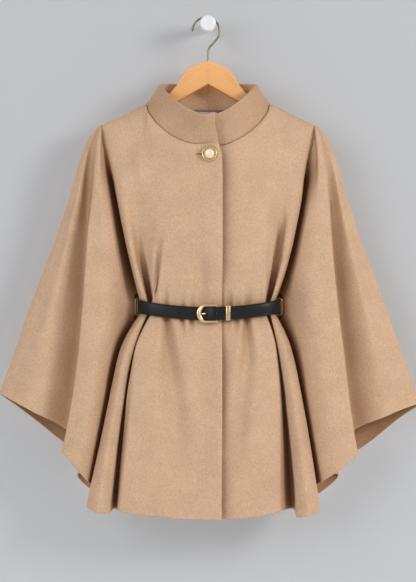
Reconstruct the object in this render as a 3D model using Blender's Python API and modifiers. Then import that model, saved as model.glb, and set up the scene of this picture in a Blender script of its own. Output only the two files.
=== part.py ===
"""Belted wool cape jacket on a wooden hanger that hangs on a wall peg.

Built in metres. The wall is the plane y = 0, the front faces -Y and +Z is up.
The origin is the centre of the peg's back face. Tables and sizes are in millimetres:
"out" is the distance from the centre line, "fore" the distance in front of the wall and
"drop" the distance below the peg's axis.
"""
import math
from collections import namedtuple

import bmesh
import bpy
import numpy as np

for scene_object in list(bpy.data.objects):
    bpy.data.objects.remove(scene_object, do_unlink=True)

MM = 0.001
WEARER_RIGHT = -1
WEARER_LEFT = 1

# Cloth
CLOTH_WALL = 2.0
COLLAR_WALL = 3.0
SEAM_GAP = 0.3
SEWN_WITHIN = 1.2
SIDE_SEAM_CUT = 0.42
MOST_SEAM_SHARE = 0.4
COLLAR_SEAM_GAP = 0.5
LAP_RISE = 2.0
LAP_BLEND_OUT = 75.0

# Shoulders and neck
SHOULDER_FORE = 62.0
NECK_HALF_WIDTH = 121.0
NECK_SIDE_DROP = 156.0
NECK_FRONT_FALL = 82.0
NECK_FRONT_REACH = 60.0
NECK_FLATNESS = 2.2
NECK_FULLNESS = 0.75
NECK_BACK_FALL = 9.0
NECK_BACK_REACH = 35.0
SHOULDER_OUT = 207.0
SHOULDER_DROP = 197.0
SHOULDER_SEAM_END_OUT = 203.0
SHOULDER_SEAM_END_DROP = 195.2
CAP_REACH = 5.0
CAP_BULGE = 2.0
SINK_POWER = 3

# Stand collar, top edge
COLLAR_TOP_HALF_WIDTH = 96.0
COLLAR_TOP_SIDE_DROP = 117.0
COLLAR_FRONT_FALL = 64.0
COLLAR_FRONT_REACH = 68.0
COLLAR_FLATNESS = 1.8
COLLAR_FULLNESS = 0.95
COLLAR_BACK_RISE = 5.0
COLLAR_BACK_REACH = 30.0
COLLAR_BOW = 2.0
COLLAR_ROWS = (0.0, 0.35, 0.7, 1.0)

# Heights of the stations at which the fold tables give each line
Stations = namedtuple("Stations", "chest bust belt_high belt_low flare hip hem")
DROPS = Stations(chest=305, bust=425, belt_high=536, belt_low=560, flare=628, hip=730, hem=937)
BELT_DROP = 548.0

# Lines of one half of the cloth, from the front opening round the side to the centre back.
# top and share place the line's upper end, sunk is its depth below its neighbours at the chest,
# bow bends it outwards under the shoulder, hem is its lower end, droop the extra on the wearer's left and
# crisp how sharply the cloth is folded along it.
Line = namedtuple("Line", "name top share sunk bow hem droop crisp")
LINES = (
    Line("lap", "front_neck", -0.14, 0, 0.0, 949, 0, 0.0),
    Line("front", "front_neck", 0.16, 0, 0.0, 948, 0, 0.0),
    Line("mid", "front_neck", 0.35, 0, 0.0, 944, 0, 0.0),
    Line("panel", "front_neck", 0.57, 0, 0.0, 939, 0, 0.0),
    Line("lip_a", "front_neck", 0.80, 0, 0.0, 934, 0, 0.5),
    Line("pleat", "front_neck", 1.00, 0, 0.0, 934, 0, 0.0),
    Line("lip_b", "front_shoulder", 0.30, 0, 0.0, 938, 0, 0.7),
    Line("tube", "front_shoulder", 0.62, 0, 0.0, 936, 0, 0.0),
    Line("lip_c", "front_shoulder", 0.93, 0, 0.0, 926, 0, 0.5),
    Line("slit", "cap", 0.00, 33, 0.0, 905, 0, 0.0),
    Line("lip_d", "cap", 0.08, -2, 0.0, 879, 0, 0.6),
    Line("fold", "cap", 0.17, 0, 0.3, 854, 2, 0.0),
    Line("ridge", "cap", 0.25, 0, 0.5, 822, 4, 0.7),
    Line("trough", "cap", 0.32, 8, 0.5, 787, 0, 0.0),
    Line("wing_in", "cap", 0.38, 0, 0.5, 748, 9, 0.0),
    Line("wing_out", "cap", 0.44, 0, 0.5, 732, 13, 0.0),
    Line("tip", "cap", 0.50, 0, 0.5, 714, 20, 0.0),
    Line("under_out", "cap", 0.60, 0, 0.5, 741, 20, 0.0),
    Line("under_in", "cap", 0.74, 0, 0.4, 791, 23, 0.0),
    Line("vent", "cap", 1.00, -10, 0.0, 860, 7, 0.0),
    Line("back_fold", "back_shoulder", 0.93, 0, 0.0, 876, 0, 0.0),
    Line("back_side", "back_shoulder", 0.50, 0, 0.0, 930, 0, 0.0),
    Line("back_neck", "back_neck", 1.00, 0, 0.0, 938, 0, 0.0),
    Line("back_mid", "back_neck", 0.62, 0, 0.0, 940, 0, 0.0),
    Line("back_inner", "back_neck", 0.30, 0, 0.0, 941, 0, 0.0),
    Line("centre_back", "back_neck", 0.00, 0, 0.0, 941, 0, 0.0),
)

# Distance from the centre line at each station
Row = namedtuple("Row", "chest bust belt flare hip hem")
OUT = {
    "lap": Row(-28, -28, -27, -27, -27, -26),
    "front": Row(30, 27, 27, 33, 38, 44),
    "mid": Row(60, 51, 54, 68, 78, 92),
    "panel": Row(89, 74, 82, 107, 126, 143),
    "lip_a": Row(114, 94, 108, 139, 157, 172),
    "pleat": Row(136, 134, 108, 140, 158, 179),
    "lip_b": Row(152, 143, 116, 141, 160, 186),
    "tube": Row(166, 150, 124, 156, 176, 210),
    "lip_c": Row(177, 157, 130, 168, 190, 233),
    "slit": Row(181, 154, 122, 156, 178, 216),
    "lip_d": Row(197, 178, 161, 183, 200, 240),
    "fold": Row(207, 200, 197, 210, 226, 268),
    "ridge": Row(221, 231, 239, 247, 261, 310),
    "trough": Row(228, 235, 241, 249, 262, 298),
    "wing_in": Row(245, 270, 296, 314, 334, 372),
    "wing_out": Row(250, 282, 318, 340, 368, 425),
    "tip": Row(259, 298, 345, 372, 411, 488),
    "under_out": Row(250, 281, 317, 339, 366, 425),
    "under_in": Row(236, 255, 276, 286, 298, 330),
    "vent": Row(206, 214, 222, 222, 222, 226),
    "back_fold": Row(196, 204, 214, 224, 237, 264),
    "back_side": Row(160, 153, 150, 156, 166, 188),
    "back_neck": Row(116, 110, 108, 112, 120, 134),
    "back_mid": Row(78, 74, 72, 75, 80, 90),
    "back_inner": Row(38, 37, 36, 38, 40, 45),
    "centre_back": Row(0, 0, 0, 0, 0, 0),
}

# Lines that lie elsewhere on the wearer's left
OUT_LEFT = {
    "panel": Row(92, 86, 86, 100, 110, 116),
    "lip_a": Row(118, 110, 110, 129, 137, 138),
    "pleat": Row(139, 138, 112, 132, 146, 163),
    "lip_b": Row(154, 147, 119, 134, 149, 167),
    "tube": Row(168, 155, 126, 147, 165, 191),
    "lip_c": Row(181, 163, 130, 160, 181, 214),
    "slit": Row(183, 158, 124, 150, 168, 198),
    "lip_d": Row(200, 176, 157, 176, 192, 226),
    "fold": Row(211, 205, 203, 215, 230, 264),
    "ridge": Row(226, 236, 248, 258, 271, 308),
    "trough": Row(233, 239, 249, 259, 272, 303),
    "wing_in": Row(247, 272, 300, 318, 338, 374),
}

# Distance in front of the wall at each station
FORE = {
    "lap": Row(128, 135, 130, 136, 142, 150),
    "front": Row(127, 134, 129, 136, 142, 150),
    "mid": Row(123, 131, 127, 134, 141, 149),
    "panel": Row(116, 126, 123, 130, 138, 147),
    "lip_a": Row(109, 121, 116, 124, 131, 140),
    "pleat": Row(104, 101, 88, 96, 98, 92),
    "lip_b": Row(101, 108, 108, 119, 127, 138),
    "tube": Row(98, 110, 105, 123, 136, 151),
    "lip_c": Row(91, 101, 93, 109, 121, 132),
    "slit": Row(54, 44, 66, 48, 46, 52),
    "lip_d": Row(93, 106, 93, 109, 118, 128),
    "fold": Row(103, 116, 124, 128, 133, 139),
    "ridge": Row(99, 110, 117, 120, 124, 129),
    "trough": Row(80, 77, 76, 76, 76, 76),
    "wing_in": Row(84, 88, 90, 90, 88, 84),
    "wing_out": Row(77, 79, 79, 79, 78, 76),
    "tip": Row(63, 62, 60, 59, 58, 57),
    "under_out": Row(51, 47, 44, 42, 41, 38),
    "under_in": Row(43, 37, 33, 31, 30, 29),
    "vent": Row(45, 48, 50, 50, 49, 48),
    "back_fold": Row(34, 25, 21, 20, 20, 20),
    "back_side": Row(29, 20, 16, 15, 14, 13),
    "back_neck": Row(25, 18, 17, 18, 20, 24),
    "back_mid": Row(22, 17, 16, 16, 15, 14),
    "back_inner": Row(21, 17, 17, 18, 20, 24),
    "centre_back": Row(21, 18, 17, 17, 17, 16),
}

# Sampling of the cloth: rows down each line, closer near the belt, and points between two lines
YOKE_STEPS = 4
CHEST_STEPS = 2
WAIST_STEPS = 4
SKIRT_STEPS = 8
BELT_CLOSENESS = 1.35
SPAN_STEPS = {
    "lap": 2, "front": 2, "mid": 2, "panel": 3, "lip_a": 2, "pleat": 2, "lip_b": 2, "tube": 2, "lip_c": 3,
    "slit": 3, "lip_d": 2, "fold": 2, "ridge": 3, "trough": 2, "wing_in": 2, "wing_out": 3, "tip": 3,
    "under_out": 2, "under_in": 3, "vent": 3, "back_fold": 2, "back_side": 2, "back_neck": 2,
    "back_mid": 2, "back_inner": 2,
}
BELT_SLIT_WIDTH = 22.0
BELT_SLIT_HALF_HEIGHT = 32.0
BELT_SLIT_END = 12.0
ARM_SLIT_WIDTH = 9.0
ARM_SLIT_TOP = 280.0
ARM_SLIT_END = 60.0
CRISP_TOP = 262.0
CRISP_REACH = 150.0

# Label under the back collar
LABEL_ROWS = (0.35, 1.0, 1.5)
LABEL_WALL = 0.8

# Button
BUTTON_X = 2.8
BUTTON_DROP = 255.0
BUTTON_BACK_FORE = 128.6
PEARL_RADIUS = 9.3
PEARL_HEIGHT = 4.6
PEARL_FOOT = 0.8
PEARL_ANGLES = (20, 45, 70)
PEARL_SEAT = 2.2
Profile = namedtuple("Profile", "radius fore")
BUTTON_PROFILE = (
    Profile(0.0, 0.0), Profile(11.0, 0.0), Profile(14.2, 1.6), Profile(14.2, 2.8), Profile(12.6, 4.4),
    Profile(10.4, 4.4), Profile(PEARL_RADIUS + SEAM_GAP, 3.2), Profile(PEARL_RADIUS + SEAM_GAP, PEARL_SEAT),
    Profile(0.0, PEARL_SEAT),
)

# Belt: the inner face of the strap from the centre front round the side to the centre back
BELT_WIDTH = 25.0
BELT_WALL = 2.6
BELT_SIDE_DROP = 546.2
BELT_SAG = 12.8
BELT_HALF_SPAN = 131.0
TAIL_LIFT = 4.0
TAIL_RISE_BEFORE = 5.0
TAIL_RISE_AFTER = 13.0
STRAP_START_X = 19.5
STRAP_STEP = 9.0
STRAP_TAIL = 182.0
PATH_STEPS = 8
FRONT_PATH_SPANS = 5
SIDE_FORE = 85.0
PathPoint = namedtuple("PathPoint", "out fore")
BELT_PATH = (
    PathPoint(0, 135.0), PathPoint(30, 134.4), PathPoint(58, 131.6), PathPoint(84, 127.2),
    PathPoint(106, 120.8), PathPoint(121, 112.0), PathPoint(131, 101.0), PathPoint(134, 92.0),
    PathPoint(133.6, 83.0), PathPoint(131.5, 75.0), PathPoint(127, 66.0), PathPoint(117, 56.0),
    PathPoint(100, 48.0), PathPoint(70, 43.0), PathPoint(35, 41.0), PathPoint(0, 40.5),
)

# Buckle, prong, bar, keeper and rings
BUCKLE_DROP = 558.8
BUCKLE_LEFT_X = -21.7
BUCKLE_RIGHT_X = 19.0
BUCKLE_HALF_HEIGHT = 17.6
BUCKLE_ARM = 4.0
BUCKLE_BOW = 9.2
BUCKLE_BOW_START_X = -4.0
BUCKLE_BACK_FORE = 138.1
BUCKLE_DEPTH = 4.0
BUCKLE_EDGE = 1.0
BUCKLE_STEPS = 10
BAR_X = 16.5
BAR_FORE = 136.4
BAR_RADIUS = 1.2
BAR_END = 0.8
PRONG_RADIUS = 1.3
PRONG_LOWER = 0.6
PRONG_PATH = (
    PathPoint(-16.5, 143.9), PathPoint(-11.5, 143.7), PathPoint(-8.0, 142.0), PathPoint(-6.0, 140.9),
)
KEEPER_X = 37.7
KEEPER_WIDTH = 8.0
KEEPER_WALL = 1.1
KEEPER_CLEAR = 0.4
Ring = namedtuple("Ring", "name side out fore half_width")
RINGS = (
    Ring("belt_ring_right", WEARER_RIGHT, 135.2, 90.0, 4.5),
    Ring("belt_ring_left", WEARER_LEFT, 136.8, 90.5, 5.6),
)
RING_HALF_HEIGHT = 16.0
RING_WIRE = 1.0
RING_SQUARENESS = 0.6

# Hanger: upper and lower edge of one arm from the centre out
HANGER_DEPTH = 14.0
HANGER_EDGE = 2.6
HANGER_STEPS = 3
Edge = namedtuple("Edge", "out drop")
HANGER_TOP = (
    Edge(0, 71.8), Edge(25, 79.5), Edge(39.6, 88.0), Edge(50.2, 101.0), Edge(60.7, 119.0),
    Edge(78.5, 138.0), Edge(121, 165.2), Edge(180, 195.0), Edge(192, 203.5),
)
HANGER_LOW = (Edge(190, 214.5), Edge(121, 185.0), Edge(60.7, 151.8), Edge(0, 117.4))

# Hook wire and wall peg
WIRE_RADIUS = 1.95
HOOK_RADIUS = 26.1
HOOK_CENTRE = Edge(-3.9, 13.8)
HOOK_TIP_ANGLE = 182.0
HOOK_LEAVE_ANGLE = -46.0
HOOK_ARC_STEPS = 18
HOOK_STEM = (Edge(9.6, 38.6), Edge(4.2, 43.6), Edge(1.0, 49.5), Edge(0.0, 57.0), Edge(0.0, 71.4))
PEG_PROFILE = (
    Profile(0.0, 0.0), Profile(9.5, 0.0), Profile(9.5, 67.0), Profile(13.6, 67.0), Profile(15.6, 69.0),
    Profile(15.6, 75.6), Profile(14.4, 78.0), Profile(12.4, 79.0), Profile(0.0, 79.4),
)
ROUND_STEPS = 28
MERGE_WITHIN = 0.00005

LINE_NAMES = [line.name for line in LINES]
BELTED = LINE_NAMES[:LINE_NAMES.index("slit") + 1]
CRISPNESS = np.array([[line.crisp] for line in LINES])


# Curves through the tables

def end_slope(steps, rates):
    """Slope at the first of the values, bent by the next two and kept between flat and steep."""
    bent = ((2 * steps[0] + steps[1]) * rates[0] - steps[0] * rates[1]) / (steps[0] + steps[1])
    if bent * rates[0] <= 0:
        return 0.0
    return math.copysign(min(abs(bent), 3 * abs(rates[0])), bent)


def monotone_slopes(places, values):
    """Slopes of a curve through the values that never overshoots them."""
    steps = np.diff(places)
    rates = np.diff(values) / steps
    slopes = np.zeros(len(values))
    slopes[0] = end_slope(steps, rates)
    slopes[-1] = end_slope(steps[::-1], rates[::-1])
    for i in range(1, len(rates)):
        if rates[i - 1] * rates[i] > 0:
            before = 2 * steps[i] + steps[i - 1]
            after = steps[i] + 2 * steps[i - 1]
            slopes[i] = (before + after) / (before / rates[i - 1] + after / rates[i])
    return slopes


def smooth_step(share):
    share = np.clip(share, 0.0, 1.0)
    return share * share * (3 - 2 * share)


def hermite(share, start, end, start_step, end_step):
    """Cubic between two values whose end slopes are given for the whole step."""
    square = share * share
    cube = square * share
    return ((2 * cube - 3 * square + 1) * start + (cube - 2 * square + share) * start_step
            + (3 * square - 2 * cube) * end + (cube - square) * end_step)


class Curve:
    """Smooth curve through values at given drops."""

    def __init__(self, drops, values):
        self.drops = np.array(drops, float)
        self.values = np.array(values, float)
        self.slopes = monotone_slopes(self.drops, self.values)

    def at(self, drop):
        i = int(np.clip(np.searchsorted(self.drops, drop) - 1, 0, len(self.drops) - 2))
        step = self.drops[i + 1] - self.drops[i]
        share = (drop - self.drops[i]) / step
        start_step = self.slopes[i] * step
        end_step = self.slopes[i + 1] * step
        return hermite(share, self.values[i], self.values[i + 1], start_step, end_step)


class TableCurve:
    """One table row over the drop; a line under the belt runs straight to it from above and from below."""

    def __init__(self, row, belted):
        above = [row.chest, row.bust, row.belt]
        below = [row.flare, row.hip, row.hem]
        if belted:
            self.upper = Curve([DROPS.chest, DROPS.bust, DROPS.belt_high], above)
            self.lower = Curve([DROPS.belt_low, DROPS.flare, DROPS.hip, DROPS.hem], [row.belt] + below)
        else:
            drops = [DROPS.chest, DROPS.bust, BELT_DROP, DROPS.flare, DROPS.hip, DROPS.hem]
            self.upper = self.lower = Curve(drops, above + below)

    def at(self, drop):
        if self.upper is not self.lower and drop > DROPS.belt_high:
            return self.lower.at(max(drop, DROPS.belt_low))
        return self.upper.at(drop)

    def chest(self):
        return self.upper.values[0]

    def chest_slope(self):
        return self.upper.slopes[0]


def neck_point(share, back):
    """Point on the neckline; share runs from the centre to the side of the neck."""
    angle = share * math.pi / 2
    side = abs(math.sin(angle))
    centre = math.cos(angle)
    out = NECK_HALF_WIDTH * math.sin(angle)
    if back:
        fall = NECK_BACK_FALL * centre
        return np.array([out, SHOULDER_FORE - NECK_BACK_REACH * centre, NECK_SIDE_DROP + fall])
    fall = NECK_FRONT_FALL * max(0.0, 1 - side ** NECK_FLATNESS) ** NECK_FULLNESS
    return np.array([out, SHOULDER_FORE + NECK_FRONT_REACH * centre, NECK_SIDE_DROP + fall])


def collar_top_point(share, back):
    """Point on the collar's top edge, above the neckline point of the same share."""
    angle = share * math.pi / 2
    side = abs(math.sin(angle))
    centre = math.cos(angle)
    out = COLLAR_TOP_HALF_WIDTH * math.sin(angle)
    if back:
        rise = COLLAR_BACK_RISE * centre
        return np.array([out, SHOULDER_FORE - COLLAR_BACK_REACH * centre, COLLAR_TOP_SIDE_DROP - rise])
    fall = COLLAR_FRONT_FALL * max(0.0, 1 - side ** COLLAR_FLATNESS) ** COLLAR_FULLNESS
    return np.array([out, SHOULDER_FORE + COLLAR_FRONT_REACH * centre, COLLAR_TOP_SIDE_DROP + fall])


def shoulder_point(share, face):
    """Point on the shoulder seam; face is 1 on the front panel and -1 on the back."""
    out = NECK_HALF_WIDTH + (SHOULDER_SEAM_END_OUT - NECK_HALF_WIDTH) * share
    drop = NECK_SIDE_DROP + (SHOULDER_SEAM_END_DROP - NECK_SIDE_DROP) * share
    return np.array([out, SHOULDER_FORE + face * SEAM_GAP / 2, drop])


def cap_point(share):
    """Point round the shoulder end, from the front of the wing's top to its back."""
    angle = share * math.pi
    out = SHOULDER_OUT - CAP_BULGE + CAP_BULGE * math.sin(angle)
    return np.array([out, SHOULDER_FORE + CAP_REACH * math.cos(angle), SHOULDER_DROP])


def top_point(line):
    if line.top == "front_neck":
        return neck_point(line.share, back=False)
    if line.top == "back_neck":
        return neck_point(line.share, back=True)
    if line.top == "front_shoulder":
        return shoulder_point(line.share, 1)
    if line.top == "back_shoulder":
        return shoulder_point(line.share, -1)
    return cap_point(line.share)


def line_points(line, side, rows):
    """Points (out, fore, drop) of one fold line at every row, from its top to its hem."""
    out_row = OUT_LEFT.get(line.name, OUT[line.name]) if side == WEARER_LEFT else OUT[line.name]
    out_curve = TableCurve(out_row, line.name in BELTED)
    fore_curve = TableCurve(FORE[line.name], line.name in BELTED)
    top = top_point(line)
    hem = line.hem + (line.droop if side == WEARER_LEFT else 0)
    length = DROPS.chest - top[2]
    chest_out = out_curve.chest()
    level = fore_curve.chest() + line.sunk
    points = []
    for kind, value in rows:
        if kind == "yoke":
            angle = value * math.pi / 2
            share = 1 - math.cos(angle)
            drop = top[2] + length * share
            reach = math.sin(angle)
            even = hermite(share, top[0], chest_out, chest_out - top[0], out_curve.chest_slope() * length)
            bowed = top[0] + (chest_out - top[0]) * reach
            out = even + (bowed - even) * line.bow
            fore = top[1] + (level - top[1]) * reach - line.sunk * share ** SINK_POWER
            fore += fore_curve.chest_slope() * (drop - DROPS.chest) * share ** 2
        else:
            drop = value if kind == "body" else DROPS.belt_low + (hem - DROPS.belt_low) * value
            out = out_curve.at(drop)
            fore = fore_curve.at(drop)
        points.append((out, fore, drop))
    return np.array(points)


def cloth_rows(yoke, chest, waist, skirt):
    """Rows from the neck and shoulders down to the hem."""
    rows = [("yoke", i / yoke) for i in range(yoke)]
    rows += [("body", DROPS.chest + (DROPS.bust - DROPS.chest) * i / chest) for i in range(chest)]
    for i in range(waist):
        rise = (DROPS.belt_high - DROPS.bust) * (1 - i / waist) ** BELT_CLOSENESS
        rows.append(("body", DROPS.belt_high - rise))
    rows += [("body", drop) for drop in (DROPS.belt_high, BELT_DROP)]
    rows += [("skirt", (i / skirt) ** BELT_CLOSENESS) for i in range(skirt + 1)]
    return rows


def span_tangents(points, knots):
    """Tangents of a smooth curve through the points of one row."""
    tangents = np.zeros_like(points)
    for i in range(len(points)):
        before = (points[i] - points[i - 1]) / (knots[i] - knots[i - 1]) if i > 0 else None
        after = (points[i + 1] - points[i]) / (knots[i + 1] - knots[i]) if i < len(points) - 1 else None
        if before is None:
            tangents[i] = after
        elif after is None:
            tangents[i] = before
        else:
            width = knots[i + 1] - knots[i - 1]
            tangents[i] = (before * (knots[i + 1] - knots[i]) + after * (knots[i] - knots[i - 1])) / width
    return tangents


def half_grid(side, rows):
    """Fold-line points of one half: rows x lines x (out, fore, drop)."""
    return np.stack([line_points(line, side, rows) for line in LINES], axis=1)


def panel_grid(lines, first, last, span_steps, start_cut=None, end_cut=None):
    """Smooth grid between two fold lines; the cuts trim its first and last span row by row."""
    i_first = LINE_NAMES.index(first)
    i_last = LINE_NAMES.index(last)
    grid = []
    for points in lines:
        chords = np.linalg.norm(np.diff(points, axis=0), axis=1)
        knots = np.concatenate([[0.0], np.cumsum(np.sqrt(np.maximum(chords, 1e-6)))])
        folded = smooth_step((points[:, 2:] - CRISP_TOP) / CRISP_REACH)
        tangents = span_tangents(points, knots) * (1 - CRISPNESS * folded)
        row = []
        for i in range(i_first, i_last):
            steps = span_steps[LINE_NAMES[i]]
            low = start_cut(points[i][2], chords[i]) if start_cut and i == i_first else 0.0
            high = 1 - end_cut(points[i][2], chords[i]) if end_cut and i == i_last - 1 else 1.0
            leaving, arriving = tangents[i:i + 2] * (knots[i + 1] - knots[i])
            for k in range(steps + (i == i_last - 1)):
                share = low + (high - low) * k / steps
                row.append(hermite(share, points[i], points[i + 1], leaving, arriving))
        grid.append(row)
    return np.array(grid)


def seam_cut(drop, chord):
    return min(MOST_SEAM_SHARE, SIDE_SEAM_CUT / chord)


def slit_cut(drop, chord):
    """Seam gap that opens into the arm slit below the shoulder and wider where the belt goes through."""
    near_belt = smooth_step((BELT_SLIT_HALF_HEIGHT - abs(drop - BELT_SIDE_DROP)) / BELT_SLIT_END)
    width = ARM_SLIT_WIDTH * smooth_step((drop - ARM_SLIT_TOP) / ARM_SLIT_END)
    width += (BELT_SLIT_WIDTH - width) * near_belt
    return seam_cut(drop, chord) + width / chord


# Solids

jacket = bpy.data.collections.new("cape_jacket")
bpy.context.scene.collection.children.link(jacket)

Finish = namedtuple("Finish", "colour roughness metallic")
FINISHES = {
    "wool": Finish((0.56, 0.38, 0.24), 0.95, 0.0),
    "label_satin": Finish((0.42, 0.42, 0.44), 0.6, 0.0),
    "belt_leather": Finish((0.012, 0.012, 0.014), 0.4, 0.0),
    "gold": Finish((0.86, 0.66, 0.36), 0.25, 1.0),
    "pearl": Finish((0.90, 0.86, 0.78), 0.2, 0.0),
    "hanger_wood": Finish((0.72, 0.40, 0.16), 0.5, 0.0),
    "hook_wire": Finish((0.40, 0.32, 0.22), 0.35, 1.0),
    "peg_white": Finish((0.85, 0.85, 0.85), 0.4, 0.0),
}


def make_material(name, finish):
    material = bpy.data.materials.new(name)
    material.use_nodes = True
    shader = material.node_tree.nodes["Principled BSDF"]
    shader.inputs["Base Color"].default_value = (*finish.colour, 1.0)
    shader.inputs["Roughness"].default_value = finish.roughness
    shader.inputs["Metallic"].default_value = finish.metallic
    return material


MATERIALS = {name: make_material(name, finish) for name, finish in FINISHES.items()}


def add_object(name, data, material):
    built = bpy.data.objects.new(name, data)
    data.materials.append(MATERIALS[material])
    jacket.objects.link(built)
    return built


def add_bmesh(name, shape, material):
    """Object from a closed shape, with its faces turned outwards."""
    bmesh.ops.recalc_face_normals(shape, faces=shape.faces)
    mesh = bpy.data.meshes.new(name)
    shape.to_mesh(mesh)
    shape.free()
    return add_object(name, mesh, material)


def grid_normals(grid, side):
    """Outward normals of a grid of scene points."""
    across = np.gradient(grid, axis=1)
    down = np.gradient(grid, axis=0)
    normals = np.cross(down, across) * side
    return normals / np.linalg.norm(normals, axis=2, keepdims=True)


def wall_between(name, outer, inner, material):
    """Closed wall lofted through an outer and an inner grid of points."""
    shape = bmesh.new()
    rows, columns = outer.shape[:2]
    front = [[shape.verts.new(p) for p in row] for row in outer]
    rear = [[shape.verts.new(p) for p in row] for row in inner]
    for i in range(rows - 1):
        for j in range(columns - 1):
            shape.faces.new((front[i][j], front[i + 1][j], front[i + 1][j + 1], front[i][j + 1]))
            shape.faces.new((rear[i][j], rear[i][j + 1], rear[i + 1][j + 1], rear[i + 1][j]))
    rim = [(i, 0) for i in range(rows)] + [(rows - 1, j) for j in range(1, columns)]
    rim += [(i, columns - 1) for i in range(rows - 2, -1, -1)] + [(0, j) for j in range(columns - 2, 0, -1)]
    for (i, j), (m, n) in zip(rim, rim[1:] + rim[:1]):
        shape.faces.new((front[i][j], rear[i][j], rear[m][n], front[m][n]))
    return add_bmesh(name, shape, material)


def lap_lift(out, side):
    """How far the lapping front stands off the middle of the lap, or the other front behind it."""
    lift = LAP_RISE * (1 - smooth_step(out / LAP_BLEND_OUT))
    return lift if side == WEARER_RIGHT else -lift


def lapped(grid, side):
    lifted = grid.copy()
    lifted[..., 1] += lap_lift(grid[..., 0], side)
    return lifted


def scene_grid(grid, side):
    return np.stack([side * grid[..., 0], -grid[..., 1], -grid[..., 2]], axis=-1) * MM


def unit(vectors):
    return vectors / np.linalg.norm(vectors, axis=-1, keepdims=True)


ROWS = cloth_rows(YOKE_STEPS, CHEST_STEPS, WAIST_STEPS, SKIRT_STEPS)
NECK_SPANS_FRONT = ("lap", "front", "mid", "panel", "lip_a")
NECK_SPANS_BACK = ("back_neck", "back_mid", "back_inner")


def neck_columns(spans):
    return sum(SPAN_STEPS[name] for name in spans)


def collar_grid(neckline, shares, back, side):
    """Collar from just above its neckline points up to its top edge, slightly bowed outwards."""
    rings = []
    for base, share in zip(neckline, shares):
        top = collar_top_point(share, back)
        if not back:
            top[1] += lap_lift(top[0], side) * COLLAR_WALL / CLOTH_WALL
        rise = top - base
        start = base + rise / np.linalg.norm(rise) * COLLAR_SEAM_GAP
        outwards = unit(np.array([base[0], base[1] - SHOULDER_FORE, 0.0]) + 1e-9)
        column = []
        for share_up in COLLAR_ROWS:
            bow = COLLAR_BOW * math.sin(share_up * math.pi)
            column.append(start + (top - start) * share_up + outwards * bow)
        rings.append(column)
    return np.array(rings).transpose(1, 0, 2)


def span_shares(spans, last):
    """Neck shares of the columns in these spans."""
    shares = []
    places = {line.name: line.share for line in LINES}
    names = list(spans) + [last]
    for name, following in zip(names, names[1:]):
        steps = SPAN_STEPS[name]
        shares += [places[name] + (places[following] - places[name]) * k / steps for k in range(steps)]
    return shares + [places[last]]


def build_half(side):
    """Front, wing and collar of one half; returns the grid and normals of the half back."""
    word = "right" if side == WEARER_RIGHT else "left"
    lines = half_grid(side, ROWS)
    front = lapped(panel_grid(lines, "lap", "slit", SPAN_STEPS, end_cut=seam_cut), side)
    wing = panel_grid(lines, "slit", "vent", SPAN_STEPS, start_cut=slit_cut, end_cut=seam_cut)
    back = panel_grid(lines, "vent", "centre_back", SPAN_STEPS, start_cut=seam_cut)

    front_neck = neck_columns(NECK_SPANS_FRONT) + 1
    back_neck = neck_columns(NECK_SPANS_BACK) + 1
    front[0, front_neck:, 1] = np.maximum(front[0, front_neck:, 1], SHOULDER_FORE + SEAM_GAP / 2)
    back[0, :-back_neck, 1] = np.minimum(back[0, :-back_neck, 1], SHOULDER_FORE - SEAM_GAP / 2)
    front_collar = collar_grid(front[0, :front_neck], span_shares(NECK_SPANS_FRONT, "pleat"), False, side)
    back_collar = collar_grid(back[0, -back_neck:], span_shares(NECK_SPANS_BACK, "centre_back"), True, side)
    collar = np.concatenate([front_collar, back_collar[:, 1:]], axis=1)
    collar[:, -1, 0] = SEAM_GAP / 2

    points = {"front": front, "wing": wing, "back": back, "collar": collar}
    points = {name: scene_grid(grid, side) for name, grid in points.items()}
    normals = {name: grid_normals(grid, side) for name, grid in points.items()}
    normals["collar"] = -normals["collar"]

    # Pieces share one normal along each seam, so their edges stay parallel
    for before, after in (("front", "wing"), ("wing", "back")):
        apart = np.linalg.norm(points[before][:, -1] - points[after][:, 0], axis=1)
        sewn = apart < SEWN_WITHIN * MM
        shared = unit(normals[before][sewn, -1] + normals[after][sewn, 0])
        normals[before][sewn, -1] = shared
        normals[after][sewn, 0] = shared
    for name, columns in (("front", slice(front_neck, None)), ("back", slice(0, -back_neck))):
        flat = normals[name][0, columns] * np.array([1.0, 0.0, 1.0])
        normals[name][0, columns] = unit(flat)
    corner = unit(normals["front"][0, front_neck - 1] + normals["back"][0, -back_neck]
                  + 2 * normals["collar"][0, front_neck - 1])
    for name, columns in (("front", slice(0, front_neck)), ("back", slice(-back_neck, None))):
        shared = unit(normals[name][0, columns] + normals["collar"][0, columns])
        shared[-1 if name == "front" else 0] = corner
        normals[name][0, columns] = shared
        normals["collar"][0, columns] = shared
    for name in ("back", "collar"):
        normals[name][:, -1, 0] = 0.0
        normals[name][:, -1] = unit(normals[name][:, -1])

    for name, wall in (("front", CLOTH_WALL), ("wing", CLOTH_WALL), ("collar", COLLAR_WALL)):
        inner = points[name] - normals[name] * wall * MM
        wall_between(f"{name}_{word}", points[name], inner, "wool")
    return points["back"], normals["back"]


def build_back(halves):
    """Back in one piece from its two halves, which meet at the centre line."""
    right, right_normals = halves[WEARER_RIGHT]
    left, left_normals = halves[WEARER_LEFT]
    points = np.concatenate([right, left[:, -2::-1]], axis=1)
    normals = np.concatenate([right_normals, left_normals[:, -2::-1]], axis=1)
    wall_between("back", points, points - normals * CLOTH_WALL * MM, "wool")
    return points, normals


def between_rows(grid, place):
    """Row of points at a place between two rows of a grid."""
    i = int(place)
    return grid[i] + (grid[i + 1] - grid[i]) * (place - i)


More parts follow.
